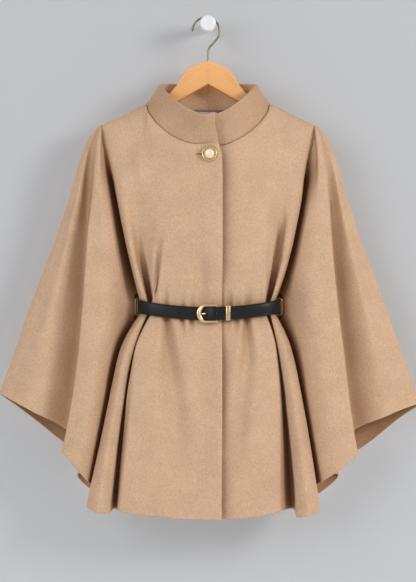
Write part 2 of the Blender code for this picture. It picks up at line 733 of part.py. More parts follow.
def build_label(points, normals):
    """Bare label made from the middle of the back's points, moved in past its wall."""
    middle = points.shape[1] // 2
    columns = slice(middle - 1, middle + 2)
    face = np.stack([between_rows(points[:, columns], place) for place in LABEL_ROWS])
    inwards = -unit(np.stack([between_rows(normals[:, columns], place) for place in LABEL_ROWS]))
    near = face + inwards * (CLOTH_WALL + SEAM_GAP) * MM
    wall_between("label", near + inwards * LABEL_WALL * MM, near, "label_satin")


halves = {side: build_half(side) for side in (WEARER_RIGHT, WEARER_LEFT)}
build_label(*build_back(halves))


# Belt

def smooth_path(table, steps):
    """Points of a smooth curve through a short table of places."""
    points = np.array(table, float)
    chords = np.linalg.norm(np.diff(points, axis=0), axis=1)
    knots = np.concatenate([[0.0], np.cumsum(np.sqrt(chords))])
    tangents = span_tangents(points, knots)
    path = []
    for i in range(len(points) - 1):
        leaving, arriving = tangents[i:i + 2] * (knots[i + 1] - knots[i])
        for k in range(steps):
            path.append(hermite(k / steps, points[i], points[i + 1], leaving, arriving))
    path.append(points[-1])
    return np.array(path)


def belt_loop():
    """Closed inner face of the belt in plan, from the centre front to the wearer's left and round."""
    half = smooth_path(BELT_PATH, PATH_STEPS)
    other = half[-2::-1] * np.array([-1.0, 1.0])
    return np.concatenate([half, other])


LOOP = belt_loop()
LOOP_LENGTHS = np.concatenate([[0.0], np.cumsum(np.linalg.norm(np.diff(LOOP, axis=0), axis=1))])


def loop_point(length):
    """Place, outward direction and drop of the belt's inner face at a length round the loop."""
    total = LOOP_LENGTHS[-1]
    place = length % total
    x = np.interp(place, LOOP_LENGTHS, LOOP[:, 0])
    fore = np.interp(place, LOOP_LENGTHS, LOOP[:, 1])
    ahead = (place + 1.0) % total
    behind = (place - 1.0) % total
    run = [np.interp(ahead, LOOP_LENGTHS, axis) - np.interp(behind, LOOP_LENGTHS, axis) for axis in LOOP.T]
    tangent = unit(np.array(run))
    sag = BELT_SAG * max(0.0, 1 - (x / BELT_HALF_SPAN) ** 2) if fore > SIDE_FORE else 0.0
    return np.array([x, fore]), np.array([-tangent[1], tangent[0]]), BELT_SIDE_DROP + sag


def length_at(x):
    """Length round the loop at which the front of the belt is at x on the wearer's left."""
    front = FRONT_PATH_SPANS * PATH_STEPS
    return np.interp(x, LOOP[:front, 0], LOOP_LENGTHS[:front])


def tail_lift(length):
    """Lift of the free end where it lies over the buckle bar and the strap."""
    total = LOOP_LENGTHS[-1]
    rise_start = total - TAIL_RISE_BEFORE
    rise_end = total + TAIL_RISE_AFTER
    return TAIL_LIFT * smooth_step((length - rise_start) / (rise_end - rise_start))


def build_strap():
    """One strap from the buckle bar round the waist and back over itself to its hidden end."""
    total = LOOP_LENGTHS[-1]
    start = length_at(STRAP_START_X)
    end = total + STRAP_TAIL
    count = int((end - start) / STRAP_STEP)
    outer = []
    inner = []
    for length in np.linspace(start, end, count):
        place, outwards, drop = loop_point(length)
        near = place + outwards * tail_lift(length)
        far = near + outwards * BELT_WALL
        heights = [-drop + BELT_WIDTH * share for share in (0.5, 0.0, -0.5)]
        outer.append([(far[0], -far[1], height) for height in heights])
        inner.append([(near[0], -near[1], height) for height in heights])
    wall_between("belt_strap", np.array(outer) * MM, np.array(inner) * MM, "belt_leather")


build_strap()


# Flat and round small pieces

def flat_piece(name, outlines, depth, edge, material):
    """Filled outline in the XZ plane, extruded along Y about its middle, with rounded edges."""
    curve = bpy.data.curves.new(name, "CURVE")
    curve.dimensions = "2D"
    curve.fill_mode = "BOTH"
    curve.extrude = (depth / 2 - edge) * MM
    curve.bevel_depth = edge * MM
    curve.bevel_resolution = 1
    curve.offset = -edge * MM
    for outline in outlines:
        spline = curve.splines.new("POLY")
        spline.points.add(len(outline) - 1)
        for point, (x, z) in zip(spline.points, outline):
            point.co = (x * MM, z * MM, 0.0, 1.0)
        spline.use_cyclic_u = True
    built = add_object(name, curve, material)
    built.rotation_euler = (math.pi / 2, 0.0, 0.0)
    return built


def wire_piece(name, points, radius, material, closed=False):
    """Round wire along a path of scene points in millimetres."""
    curve = bpy.data.curves.new(name, "CURVE")
    curve.dimensions = "3D"
    curve.bevel_depth = radius * MM
    curve.bevel_resolution = 2
    curve.use_fill_caps = not closed
    spline = curve.splines.new("POLY")
    spline.points.add(len(points) - 1)
    for point, place in zip(spline.points, points):
        point.co = (place[0] * MM, place[1] * MM, place[2] * MM, 1.0)
    spline.use_cyclic_u = closed
    return add_object(name, curve, material)


def turned_piece(name, profile, x, drop, material):
    """Solid turned about a line along Y from a profile of radius and fore."""
    mesh = bpy.data.meshes.new(name)
    points = [(p.radius * MM, -p.fore * MM, 0.0) for p in profile]
    mesh.from_pydata(points, [(i, i + 1) for i in range(len(points) - 1)], [])
    built = add_object(name, mesh, material)
    built.location = (x * MM, 0.0, -drop * MM)
    screw = built.modifiers.new("turn", "SCREW")
    screw.axis = "Y"
    screw.angle = 2 * math.pi
    screw.steps = ROUND_STEPS
    screw.render_steps = ROUND_STEPS
    screw.use_merge_vertices = True
    screw.merge_threshold = MERGE_WITHIN
    return built


def build_button():
    """Gold rim with a seat, and the pearl dome that sits in it."""
    rim = [Profile(p.radius, BUTTON_BACK_FORE + p.fore) for p in BUTTON_PROFILE]
    turned_piece("button_rim", rim, BUTTON_X, BUTTON_DROP, "gold")
    seat = BUTTON_BACK_FORE + PEARL_SEAT + SEAM_GAP
    dome = [Profile(0.0, seat), Profile(PEARL_RADIUS, seat)]
    for degrees in PEARL_ANGLES:
        angle = math.radians(degrees)
        rise = PEARL_FOOT + PEARL_HEIGHT * math.sin(angle)
        dome.append(Profile(PEARL_RADIUS * math.cos(angle), seat + rise))
    dome.append(Profile(0.0, seat + PEARL_FOOT + PEARL_HEIGHT))
    turned_piece("button_pearl", dome, BUTTON_X, BUTTON_DROP, "pearl")


def build_buckle():
    """Horseshoe frame, the bar behind the strap and the prong that lies on the bow."""
    outer = [(BUCKLE_RIGHT_X, BUCKLE_HALF_HEIGHT)]
    inner = []
    wide = BUCKLE_BOW_START_X - BUCKLE_LEFT_X
    for k in range(BUCKLE_STEPS + 1):
        angle = math.pi / 2 + math.pi * k / BUCKLE_STEPS
        outer.append((BUCKLE_BOW_START_X + wide * math.cos(angle), BUCKLE_HALF_HEIGHT * math.sin(angle)))
        inner.append((BUCKLE_BOW_START_X + (wide - BUCKLE_BOW) * math.cos(angle),
                      (BUCKLE_HALF_HEIGHT - BUCKLE_ARM) * math.sin(angle)))
    outer.append((BUCKLE_RIGHT_X, -BUCKLE_HALF_HEIGHT))
    tips = [(BUCKLE_RIGHT_X, -BUCKLE_HALF_HEIGHT + BUCKLE_ARM)]
    other_tip = [(BUCKLE_RIGHT_X, BUCKLE_HALF_HEIGHT - BUCKLE_ARM)]
    outline = outer + tips + inner[::-1] + other_tip
    frame = flat_piece("buckle_frame", [outline], BUCKLE_DEPTH, BUCKLE_EDGE, "gold")
    frame.location = (0.0, -(BUCKLE_BACK_FORE + BUCKLE_DEPTH / 2) * MM, -BUCKLE_DROP * MM)
    reach = BUCKLE_HALF_HEIGHT - BAR_END
    bar = [(BAR_X, -BAR_FORE, -BUCKLE_DROP + reach), (BAR_X, -BAR_FORE, -BUCKLE_DROP - reach)]
    wire_piece("buckle_bar", bar, BAR_RADIUS, "gold")
    prong = [(p.out, -p.fore, -BUCKLE_DROP - PRONG_LOWER) for p in PRONG_PATH]
    wire_piece("buckle_prong", prong, PRONG_RADIUS, "gold")


def build_keeper():
    """Flat loop round both layers of the strap."""
    length = length_at(KEEPER_X)
    place, outwards, drop = loop_point(length)
    depth_in = KEEPER_CLEAR + KEEPER_WALL
    depth_out = TAIL_LIFT + BELT_WALL + KEEPER_CLEAR + KEEPER_WALL
    high = BELT_WIDTH / 2 + KEEPER_CLEAR + KEEPER_WALL
    curve = bpy.data.curves.new("belt_keeper", "CURVE")
    curve.dimensions = "2D"
    curve.fill_mode = "BOTH"
    curve.extrude = KEEPER_WIDTH / 2 * MM
    for cut in (0.0, KEEPER_WALL):
        corners = ((-depth_in + cut, -high + cut), (depth_out - cut, -high + cut),
                   (depth_out - cut, high - cut), (-depth_in + cut, high - cut))
        spline = curve.splines.new("POLY")
        spline.points.add(len(corners) - 1)
        for point, (reach, rise) in zip(spline.points, corners):
            point.co = (reach * MM, rise * MM, 0.0, 1.0)
        spline.use_cyclic_u = True
    built = add_object("belt_keeper", curve, "gold")
    built.location = (place[0] * MM, -place[1] * MM, -drop * MM)
    built.rotation_euler = (math.pi / 2, 0.0, math.atan2(-outwards[1], outwards[0]))


def build_rings():
    for ring in RINGS:
        points = []
        for k in range(ROUND_STEPS):
            angle = 2 * math.pi * k / ROUND_STEPS
            across = math.copysign(abs(math.cos(angle)) ** RING_SQUARENESS, math.cos(angle))
            up = math.copysign(abs(math.sin(angle)) ** RING_SQUARENESS, math.sin(angle))
            x = ring.side * (ring.out + ring.half_width * across)
            points.append((x, -ring.fore, -BELT_SIDE_DROP + RING_HALF_HEIGHT * up))
        wire_piece(ring.name, points, RING_WIRE, "gold", closed=True)


def build_hanger():
    top = smooth_path(HANGER_TOP, HANGER_STEPS)
    low = smooth_path(HANGER_LOW, HANGER_STEPS)
    half = np.concatenate([top, low])
    outline = [(out, -drop) for out, drop in half]
    outline += [(-out, -drop) for out, drop in half[-2:0:-1]]
    wood = flat_piece("hanger_wood", [outline], HANGER_DEPTH, HANGER_EDGE, "hanger_wood")
    wood.location = (0.0, -SHOULDER_FORE * MM, 0.0)
    wire = []
    for k in range(HOOK_ARC_STEPS + 1):
        angle = math.radians(HOOK_TIP_ANGLE + (HOOK_LEAVE_ANGLE - HOOK_TIP_ANGLE) * k / HOOK_ARC_STEPS)
        wire.append((HOOK_CENTRE.out + HOOK_RADIUS * math.cos(angle), -SHOULDER_FORE,
                     -HOOK_CENTRE.drop + HOOK_RADIUS * math.sin(angle)))
    wire += [(place.out, -SHOULDER_FORE, -place.drop) for place in HOOK_STEM]
    wire_piece("hanger_hook", wire, WIRE_RADIUS, "hook_wire")


build_button()
build_buckle()
build_keeper()
build_rings()
build_hanger()
turned_piece("wall_peg", PEG_PROFILE, 0.0, 0.0, "peg_white")
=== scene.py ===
"""Looks of the belted cape jacket: fine cloth with creases, belt, button, hanger and studio.

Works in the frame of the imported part, in metres. The wall is the plane y = 0, the front faces -Y, +Z is up.
Tables are in millimetres: "out" is the distance from the centre line, "x" the same with its sign,
"fore" the distance in front of the wall and "drop" the distance below the peg's axis.
"""
import math
from collections import namedtuple
from contextlib import contextmanager

import bmesh
import bpy
import numpy as np
from mathutils import Matrix, Vector, noise
from mathutils.bvhtree import BVHTree


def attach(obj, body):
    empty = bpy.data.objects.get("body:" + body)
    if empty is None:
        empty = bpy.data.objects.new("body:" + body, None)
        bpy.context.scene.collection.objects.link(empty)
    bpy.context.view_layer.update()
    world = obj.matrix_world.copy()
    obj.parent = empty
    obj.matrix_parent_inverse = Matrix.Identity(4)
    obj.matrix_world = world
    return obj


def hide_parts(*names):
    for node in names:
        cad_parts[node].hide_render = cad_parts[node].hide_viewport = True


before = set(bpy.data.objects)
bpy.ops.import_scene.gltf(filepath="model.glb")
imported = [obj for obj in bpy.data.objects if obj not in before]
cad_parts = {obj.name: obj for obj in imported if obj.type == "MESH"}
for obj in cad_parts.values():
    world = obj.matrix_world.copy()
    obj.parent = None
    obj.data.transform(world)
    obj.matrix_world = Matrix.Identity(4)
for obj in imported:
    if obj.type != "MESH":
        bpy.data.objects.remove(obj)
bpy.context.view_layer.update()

MM = 0.001
WEARER_RIGHT = -1
WEARER_LEFT = 1
SIDES = {WEARER_RIGHT: "right", WEARER_LEFT: "left"}
BODY = "root"

# Cloth
CLOTH_WALL = 2.0
COLLAR_WALL = 3.0
SEAM_GAP = 0.3
SEWN_WITHIN = 1.2
SIDE_SEAM_CUT = 0.42
MOST_SEAM_SHARE = 0.4
COLLAR_SEAM_GAP = 0.5
LAP_RISE = 2.0
LAP_BLEND_OUT = 75.0

# Shoulders
SHOULDER_FORE = 62.0
SHOULDER_OUT = 207.0
SHOULDER_DROP = 197.0
SHOULDER_SEAM_END_OUT = 203.0
SHOULDER_SEAM_END_DROP = 195.2
CAP_REACH = 1.5
CAP_BULGE = 2.0
SINK_POWER = 1.8

# Rings round the neck: half width, drop at the sides, and how far the front and the back lie below the sides
# and reach from the shoulders; flatness and fullness shape the front
NeckRing = namedtuple(
    "NeckRing", "half_width side_drop front_fall front_reach flatness fullness back_fall back_reach")
NECKLINE = NeckRing(121.0, 156.0, 82.0, 60.0, 2.2, 0.75, 9.0, 35.0)
COLLAR_TOP = NeckRing(96.0, 117.0, 64.0, 68.0, 1.8, 0.95, -5.0, 30.0)

# Heights of the stations at which the fold tables give each line
Stations = namedtuple("Stations", "chest bust belt_high belt_low flare hip hem")
DROPS = Stations(chest=305, bust=425, belt_high=536, belt_low=560, flare=628, hip=730, hem=937)
BELT_DROP = 548.0

# Lines of one half of the cloth, from the front opening round the side to the centre back.
# top and share place the line's upper end, sunk is its depth below its neighbours at the chest,
# bow bends it outwards under the shoulder, hem is its lower end, droop the extra on the wearer's left and
# crisp how sharply the cloth is folded along it.
Line = namedtuple("Line", "name top share sunk bow hem droop crisp")
LINES = (
    Line("lap", "front_neck", -0.14, 0, 0.0, 949, 0, 0.0),
    Line("front", "front_neck", 0.16, 0, 0.0, 948, 0, 0.0),
    Line("mid", "front_neck", 0.35, 0, 0.0, 944, 0, 0.0),
    Line("panel", "front_neck", 0.57, 0, 0.0, 939, 0, 0.0),
    Line("lip_a", "front_neck", 0.80, 0, 0.0, 934, 0, 0.5),
    Line("pleat", "front_neck", 1.00, 0, 0.0, 934, 0, 0.0),
    Line("lip_b", "front_shoulder", 0.30, 0, 0.0, 938, 8, 0.7),
    Line("tube", "front_shoulder", 0.62, 0, 0.0, 936, 6, 0.0),
    Line("lip_c", "front_shoulder", 0.93, 0, -0.5, 926, 8, 0.5),
    Line("slit", "cap", 0.00, 33, -0.5, 905, 0, 0.0),
    Line("lip_d", "cap", 0.08, -2, 0.0, 879, 0, 0.72),
    Line("fold", "cap", 0.17, 0, 0.3, 854, 2, 0.0),
    Line("ridge", "cap", 0.25, 0, 0.5, 822, 4, 0.7),
    Line("trough", "cap", 0.32, 8, 0.5, 787, 0, 0.0),
    Line("wing_in", "cap", 0.38, 0, 0.5, 748, 9, 0.0),
    Line("wing_out", "cap", 0.44, 0, 0.5, 732, 13, 0.0),
    Line("tip", "cap", 0.50, 0, 0.5, 714, 20, 0.0),
    Line("under_out", "cap", 0.60, 0, 0.5, 741, 20, 0.0),
    Line("under_in", "cap", 0.74, 0, 0.4, 791, 23, 0.0),
    Line("vent", "cap", 1.00, -10, 0.0, 860, 7, 0.0),
    Line("back_fold", "back_shoulder", 0.93, 0, 0.0, 876, 0, 0.0),
    Line("back_side", "back_shoulder", 0.50, 0, 0.0, 930, 0, 0.0),
    Line("back_neck", "back_neck", 1.00, 0, 0.0, 938, 0, 0.0),
    Line("back_mid", "back_neck", 0.62, 0, 0.0, 940, 0, 0.0),
    Line("back_inner", "back_neck", 0.30, 0, 0.0, 941, 0, 0.0),
    Line("centre_back", "back_neck", 0.00, 0, 0.0, 941, 0, 0.0),
)

# Distance from the centre line at each station
Row = namedtuple("Row", "chest bust belt flare hip hem")
OUT = {
    "lap": Row(-28, -28, -27, -27, -27, -26),
    "front": Row(30, 27, 27, 33, 38, 44),
    "mid": Row(60, 51, 54, 68, 78, 92),
    "panel": Row(89, 74, 82, 107, 126, 143),
    "lip_a": Row(114, 94, 108, 139, 157, 172),
    "pleat": Row(136, 134, 108, 140, 158, 179),
    "lip_b": Row(152, 143, 116, 141, 160, 186),
    "tube": Row(166, 150, 124, 156, 176, 210),
    "lip_c": Row(180, 157, 130, 168, 190, 233),
    "slit": Row(183, 154, 122, 156, 178, 216),
    "lip_d": Row(197, 178, 161, 183, 200, 240),
    "fold": Row(207, 200, 197, 210, 226, 268),
    "ridge": Row(221, 231, 239, 247, 261, 310),
    "trough": Row(228, 235, 241, 249, 262, 298),
    "wing_in": Row(245, 270, 296, 314, 334, 372),
    "wing_out": Row(250, 282, 318, 340, 368, 425),
    "tip": Row(259, 298, 345, 372, 411, 488),
    "under_out": Row(250, 281, 317, 339, 366, 425),
    "under_in": Row(236, 255, 276, 286, 298, 330),
    "vent": Row(206, 214, 222, 222, 222, 226),
    "back_fold": Row(196, 204, 214, 224, 237, 264),
    "back_side": Row(160, 153, 150, 156, 166, 188),
    "back_neck": Row(116, 110, 108, 112, 120, 134),
    "back_mid": Row(78, 74, 72, 75, 80, 90),
    "back_inner": Row(38, 37, 36, 38, 40, 45),
    "centre_back": Row(0, 0, 0, 0, 0, 0),
}

# Lines that lie elsewhere on the wearer's left
OUT_LEFT = {
    "panel": Row(92, 86, 86, 100, 110, 116),
    "lip_a": Row(118, 110, 110, 129, 137, 138),
    "pleat": Row(139, 138, 112, 132, 146, 163),
    "lip_b": Row(154, 147, 119, 134, 149, 167),
    "tube": Row(168, 155, 126, 147, 165, 191),
    "lip_c": Row(183, 163, 130, 160, 181, 214),
    "slit": Row(183, 158, 124, 150, 168, 198),
    "lip_d": Row(203, 178, 157, 176, 192, 226),
    "fold": Row(211, 205, 203, 215, 230, 264),
    "ridge": Row(226, 236, 248, 258, 271, 308),
    "trough": Row(233, 239, 249, 259, 272, 303),
    "wing_in": Row(247, 272, 300, 318, 338, 374),
}

# Distance in front of the wall at each station
FORE = {
    "lap": Row(128, 135, 130, 136, 142, 150),
    "front": Row(127, 134, 129, 136, 142, 150),
    "mid": Row(123, 131, 127, 134, 141, 149),
    "panel": Row(116, 126, 123, 130, 138, 147),
    "lip_a": Row(109, 121, 116, 124, 131, 140),
    "pleat": Row(104, 101, 88, 96, 98, 92),
    "lip_b": Row(101, 108, 108, 119, 127, 138),
    "tube": Row(98, 110, 105, 123, 136, 151),
    "lip_c": Row(91, 101, 93, 109, 121, 132),
    "slit": Row(54, 44, 66, 48, 46, 52),
    "lip_d": Row(93, 106, 93, 109, 118, 128),
    "fold": Row(103, 116, 124, 128, 133, 139),
    "ridge": Row(99, 110, 117, 120, 124, 129),
    "trough": Row(80, 77, 76, 76, 76, 76),
    "wing_in": Row(84, 88, 90, 90, 88, 84),
    "wing_out": Row(77, 79, 79, 79, 78, 76),
    "tip": Row(63, 62, 60, 59, 58, 57),
    "under_out": Row(51, 47, 44, 42, 41, 38),
    "under_in": Row(43, 37, 33, 31, 30, 29),
    "vent": Row(45, 48, 50, 50, 49, 48),
    "back_fold": Row(34, 25, 21, 20, 20, 20),
    "back_side": Row(29, 20, 16, 15, 14, 13),
    "back_neck": Row(25, 18, 17, 18, 20, 24),
    "back_mid": Row(22, 17, 16, 16, 15, 14),
    "back_inner": Row(21, 17, 17, 18, 20, 24),
    "centre_back": Row(21, 18, 17, 17, 17, 16),
}

# Slits for the belt and the arms, and where the folds turn crisp
BELT_SLIT_WIDTH = 22.0
BELT_SLIT_HALF_HEIGHT = 32.0
BELT_SLIT_END = 12.0
ARM_SLIT_WIDTH = 9.0
ARM_SLIT_TOP = 280.0
ARM_SLIT_END = 60.0
CRISP_TOP = 262.0
CRISP_REACH = 150.0

# Label under the back collar
LABEL_WALL = 0.8
LABEL_ROLL = 0.24
LABEL_COLUMNS = 7
LABEL_DROPS = (166.0, 205.0)

# Turned pieces and wires; an edge stays sharp above its angle in degrees
AXIS_RADIUS = 0.01
TURN_STEPS = 64
MERGE_REACH = 0.00001
WIRE_ROUNDNESS = 4
TURNED_SHARP = 60.0
WIRE_SHARP = 50.0
CUT_SHARP = 45.0

# Button: its profile is (radius, rise above its back)
BUTTON_X = 2.8
BUTTON_DROP = 255.0
BUTTON_BACK_FORE = 128.6
BUTTON_LIFT = 3.9
BUTTON_RIM_RADIUS = 14.2
BUTTON_LIP_RADIUS = 12.3
PEARL_RADIUS = 9.3
PEARL_EDGE = 0.3
PEARL_HEIGHT = 4.6
PEARL_FOOT = 0.8
PEARL_SEAT = 2.2
DOME_STEPS = 14
BUTTON_PROFILE = (
    (AXIS_RADIUS, 0.0), (10.6, 0.0), (12.4, 0.5), (13.6, 1.2),
    (BUTTON_RIM_RADIUS, 2.0), (BUTTON_RIM_RADIUS, 2.8),
    (13.95, 3.4), (13.4, 3.7), (12.8, 3.5), (BUTTON_LIP_RADIUS, 2.8), (BUTTON_LIP_RADIUS, 2.4),
    (PEARL_RADIUS + SEAM_GAP, 2.4), (PEARL_RADIUS + SEAM_GAP, PEARL_SEAT), (AXIS_RADIUS, PEARL_SEAT),
)
BEADS = 22
BEAD_RADIUS = 1.25
BEAD_STRETCH = (1.25, 0.8, 0.75)
BEAD_RING = 10.8
BEAD_SEAT = 2.9
BEAD_TURN = math.radians(35.0)
BEAD_SEGMENTS = 10
BEAD_RINGS = 7

# Buttonhole
BUTTONHOLE_X = -8.0
BUTTONHOLE_DROP = 255.8
BUTTONHOLE_HALF_LENGTH = 15.0
BUTTONHOLE_HALF_HEIGHT = 0.75
BUTTONHOLE_SQUARENESS = 0.6
BUTTONHOLE_STEPS = 48
THREAD_RADIUS = 0.6
THREAD_LIFT = 0.18
RAY_START = -0.4

# Belt: its path is (out, fore) of the strap's inner face from the centre front round the side to the centre
# back, and its section is (across, depth)
BELT_WIDTH = 25.0
BELT_WALL = 2.6
BELT_SIDE_DROP = 546.2
BELT_SAG = 12.8
BELT_HALF_SPAN = 131.0
TAIL_LIFT = 4.0
TAIL_RISE_BEFORE = 5.0
TAIL_RISE_AFTER = 13.0
STRAP_START_X = 19.5
STRAP_TAIL = 182.0
STRAP_STEP = 3.0
STRAP_TIP = 14.0
STRAP_LEAST_TIP = 0.02
PATH_STEPS = 8
FRONT_PATH_SPANS = 5
SIDE_FORE = 85.0
BELT_PATH = (
    (0, 135.0), (30, 134.4), (58, 131.6), (84, 127.2), (106, 120.8), (121, 112.0), (131, 101.0), (134, 92.0),
    (133.6, 83.0), (131.5, 75.0), (127, 66.0), (117, 56.0), (100, 48.0), (70, 43.0), (35, 41.0), (0, 40.5),
)
STRAP_SECTION = (
    (-12.5, 1.2), (-12.2, 1.9), (-11.6, 2.25), (-10.7, 2.35), (-10.25, 2.1), (-9.8, 2.4), (-6.0, 2.7),
    (0.0, 2.85), (6.0, 2.7), (9.8, 2.4), (10.25, 2.1), (10.7, 2.35), (11.6, 2.25), (12.2, 1.9), (12.5, 1.2),
    (12.2, 0.5), (11.6, 0.1), (10.0, 0.0), (0.0, 0.0), (-10.0, 0.0), (-11.6, 0.1), (-12.2, 0.5),
)
BELT_HOLES = (-54.2, -29.8, 14.4)
HOLE_RADIUS = 2.1
HOLE_DEPTH = 8.0
HOLE_STEPS = 16
TAN_FROM_OUT = 132.0
TAN_FORES = (60.0, 98.0)
TAN_FACING = 0.6

# Buckle, prong, bar, keeper and rings: the buckle's section is (share across, rise above its back), the
# prong's path (x, fore), the keeper's section (share across, share sideways), and a tip is shares of a radius
BUCKLE_DROP = 558.8
BUCKLE_LEFT_X = -21.7
BUCKLE_RIGHT_X = 19.0
BUCKLE_HALF_HEIGHT = 17.6
BUCKLE_ARM = 4.0
BUCKLE_BOW = 9.2
BUCKLE_BOW_START_X = -4.0
BUCKLE_BACK_FORE = 138.1
BUCKLE_ARM_STEPS = 6
BUCKLE_BOW_STEPS = 40
BUCKLE_SHARP = 70.0
BUCKLE_SECTION = (
    (0.0, 1.2), (0.03, 2.6), (0.12, 3.65), (0.28, 4.0), (0.48, 3.95), (0.56, 3.45), (0.64, 3.8), (0.80, 3.65),
    (0.94, 2.9), (1.0, 1.8), (0.96, 0.5), (0.85, 0.0), (0.15, 0.0), (0.04, 0.4),
)
BAR_X = 16.5
BAR_FORE = 136.4
BAR_RADIUS = 1.2
BAR_END = 0.8
PRONG_RADIUS = 1.3
PRONG_TIP = (0.55, 0.9)
PRONG_LOWER = 0.6
PRONG_STEPS = 5
PRONG_PATH = ((-16.5, 143.9), (-11.5, 143.7), (-8.0, 142.0), (-6.0, 140.9))
KEEPER_X = 37.7
KEEPER_WIDTH = 8.0
KEEPER_WALL = 1.1
KEEPER_CLEAR = 0.4
KEEPER_ROUND = 1.0
KEEPER_CORNER_STEPS = 5
KEEPER_SHARP = 40.0
KEEPER_SECTION = (
    (0.0, -0.94), (0.45, -1.0), (0.72, -0.92), (0.88, -0.7), (0.97, -0.35), (1.0, 0.0), (0.97, 0.35),
    (0.88, 0.7), (0.72, 0.92), (0.45, 1.0), (0.0, 0.94),
)
Ring = namedtuple("Ring", "name side out fore half_width")
RINGS = (
    Ring("belt_ring_right", WEARER_RIGHT, 135.2, 90.0, 4.5),
    Ring("belt_ring_left", WEARER_LEFT, 136.8, 90.5, 5.6),
)
RING_HALF_HEIGHT = 16.0
RING_WIRE = 0.75
RING_SQUARENESS = 0.6
RING_STEPS = 72

# Hanger: (out, drop) of the upper and lower edge of one arm from the centre out
HANGER_DEPTH = 14.0
HANGER_EDGE = 2.6
HANGER_STEPS = 10
HANGER_TOP = (
    (0, 71.8), (25, 79.5), (39.6, 88.0), (50.2, 101.0), (60.7, 119.0), (78.5, 138.0), (121, 165.2),
    (180, 195.0), (192, 203.5),
)
HANGER_LOW = ((190, 214.5), (121, 185.0), (60.7, 151.8), (0, 117.4))

# Hook wire, with its stem as (out, drop), and wall peg, with its profile as (radius, fore)
HOOK_WIRE = 1.95
HOOK_RADIUS = 26.1
HOOK_OUT = -3.9
HOOK_DROP = 13.8
HOOK_ANGLES = (math.radians(182.0), math.radians(-46.0))
HOOK_STEPS = 60
HOOK_TIP = (0.45, 0.85)
HOOK_STEM = ((9.6, 38.6), (4.2, 43.6), (1.0, 49.5), (0.0, 57.0), (0.0, 71.4))
STEM_STEPS = 6
PEG_PROFILE = (
    (AXIS_RADIUS, 0.0), (9.5, 0.0), (9.5, 67.0), (13.2, 67.0), (14.6, 67.4), (15.3, 68.2), (15.6, 69.4),
    (15.6, 75.2), (15.3, 76.8), (14.6, 78.0), (13.4, 78.8), (11.8, 79.2), (AXIS_RADIUS, 79.4),
)

# Stage, in metres
WALL_SIZE = (7.0, 6.0)
WALL_PLACE = (0.0, 0.001, 0.2)
WALL_GREY = (0.36, 0.365, 0.378)
# Painted light on the wall: a glow, stronger towards the bottom, that also weakens the garment's shadows on
# it
WALL_GLOW = ((0.08, (0.172, 0.174, 0.176)), (0.40, (0.112, 0.114, 0.116)))
WALL_GLOW_SPAN = 1.3
FLOOR_SIZE = (7.0, 7.0)
FLOOR_PLACE = (0.0, 0.0, -1.55)
FLOOR_GREY = (0.78, 0.78, 0.78)
WORLD_GREY = (0.95, 0.97, 1.0)
WORLD_STRENGTH = 0.42
Lamp = namedtuple("Lamp", "name place aim size power colour")
LAMPS = (
    Lamp("key", (2.8, -2.3, 0.7), (0.0, -0.1, -0.5), 1.3, 82.0, (1.0, 0.985, 0.96)),
    Lamp("fill", (-2.2, -2.6, 0.5), (0.0, -0.1, -0.5), 2.6, 55.0, (0.97, 0.985, 1.0)),
    Lamp("back", (-1.4, 2.4, 0.6), (0.0, 0.0, -0.5), 1.8, 60.0, (1.0, 1.0, 1.0)),
    Lamp("back_fill", (2.0, 2.2, -0.4), (0.0, 0.0, -0.5), 1.8, 40.0, (1.0, 1.0, 1.0)),
)
CAMERA_PLACE = (0.0, -4.130, -0.5162)
CAMERA_LENS = 130.2
CAMERA_SENSOR = 36.0

# Lines by name
LINE_NAMES = [line.name for line in LINES]
BELTED = LINE_NAMES[:LINE_NAMES.index("slit") + 1]
CRISPNESS = np.array([[line.crisp] for line in LINES])


# Curves through the tables

def end_slope(steps, rates):
    """Slope at the first of the values, bent by the next two and kept between flat and steep."""
    bent = ((2 * steps[0] + steps[1]) * rates[0] - steps[0] * rates[1]) / (steps[0] + steps[1])
    if bent * rates[0] <= 0:
        return 0.0
    return math.copysign(min(abs(bent), 3 * abs(rates[0])), bent)


def monotone_slopes(places, values):
    """Slopes of a curve through the values that never overshoots them."""
    steps = np.diff(places)
    rates = np.diff(values) / steps
    slopes = np.zeros(len(values))
    slopes[0] = end_slope(steps, rates)
    slopes[-1] = end_slope(steps[::-1], rates[::-1])
    for i in range(1, len(rates)):
        if rates[i - 1] * rates[i] > 0:
            before = 2 * steps[i] + steps[i - 1]
            after = steps[i] + 2 * steps[i - 1]
            slopes[i] = (before + after) / (before / rates[i - 1] + after / rates[i])
    return slopes


def smooth_step(share):
    """Share eased at both ends and kept from 0 to 1."""
    share = np.clip(share, 0.0, 1.0)
    return share * share * (3 - 2 * share)


def hermite(share, start, end, start_step, end_step):
    """Cubic between two values whose end slopes are given for the whole step."""
    square = share * share
    cube = square * share
    return ((2 * cube - 3 * square + 1) * start + (cube - 2 * square + share) * start_step
            + (3 * square - 2 * cube) * end + (cube - square) * end_step)


class Curve:
    """Smooth curve through values at given drops."""

    def __init__(self, drops, values):
        self.drops = np.array(drops, float)
        self.values = np.array(values, float)
        self.slopes = monotone_slopes(self.drops, self.values)

    def at(self, drop):
        i = int(np.clip(np.searchsorted(self.drops, drop) - 1, 0, len(self.drops) - 2))
        step = self.drops[i + 1] - self.drops[i]
        share = (drop - self.drops[i]) / step
        start_step = self.slopes[i] * step
        end_step = self.slopes[i + 1] * step
        return hermite(share, self.values[i], self.values[i + 1], start_step, end_step)


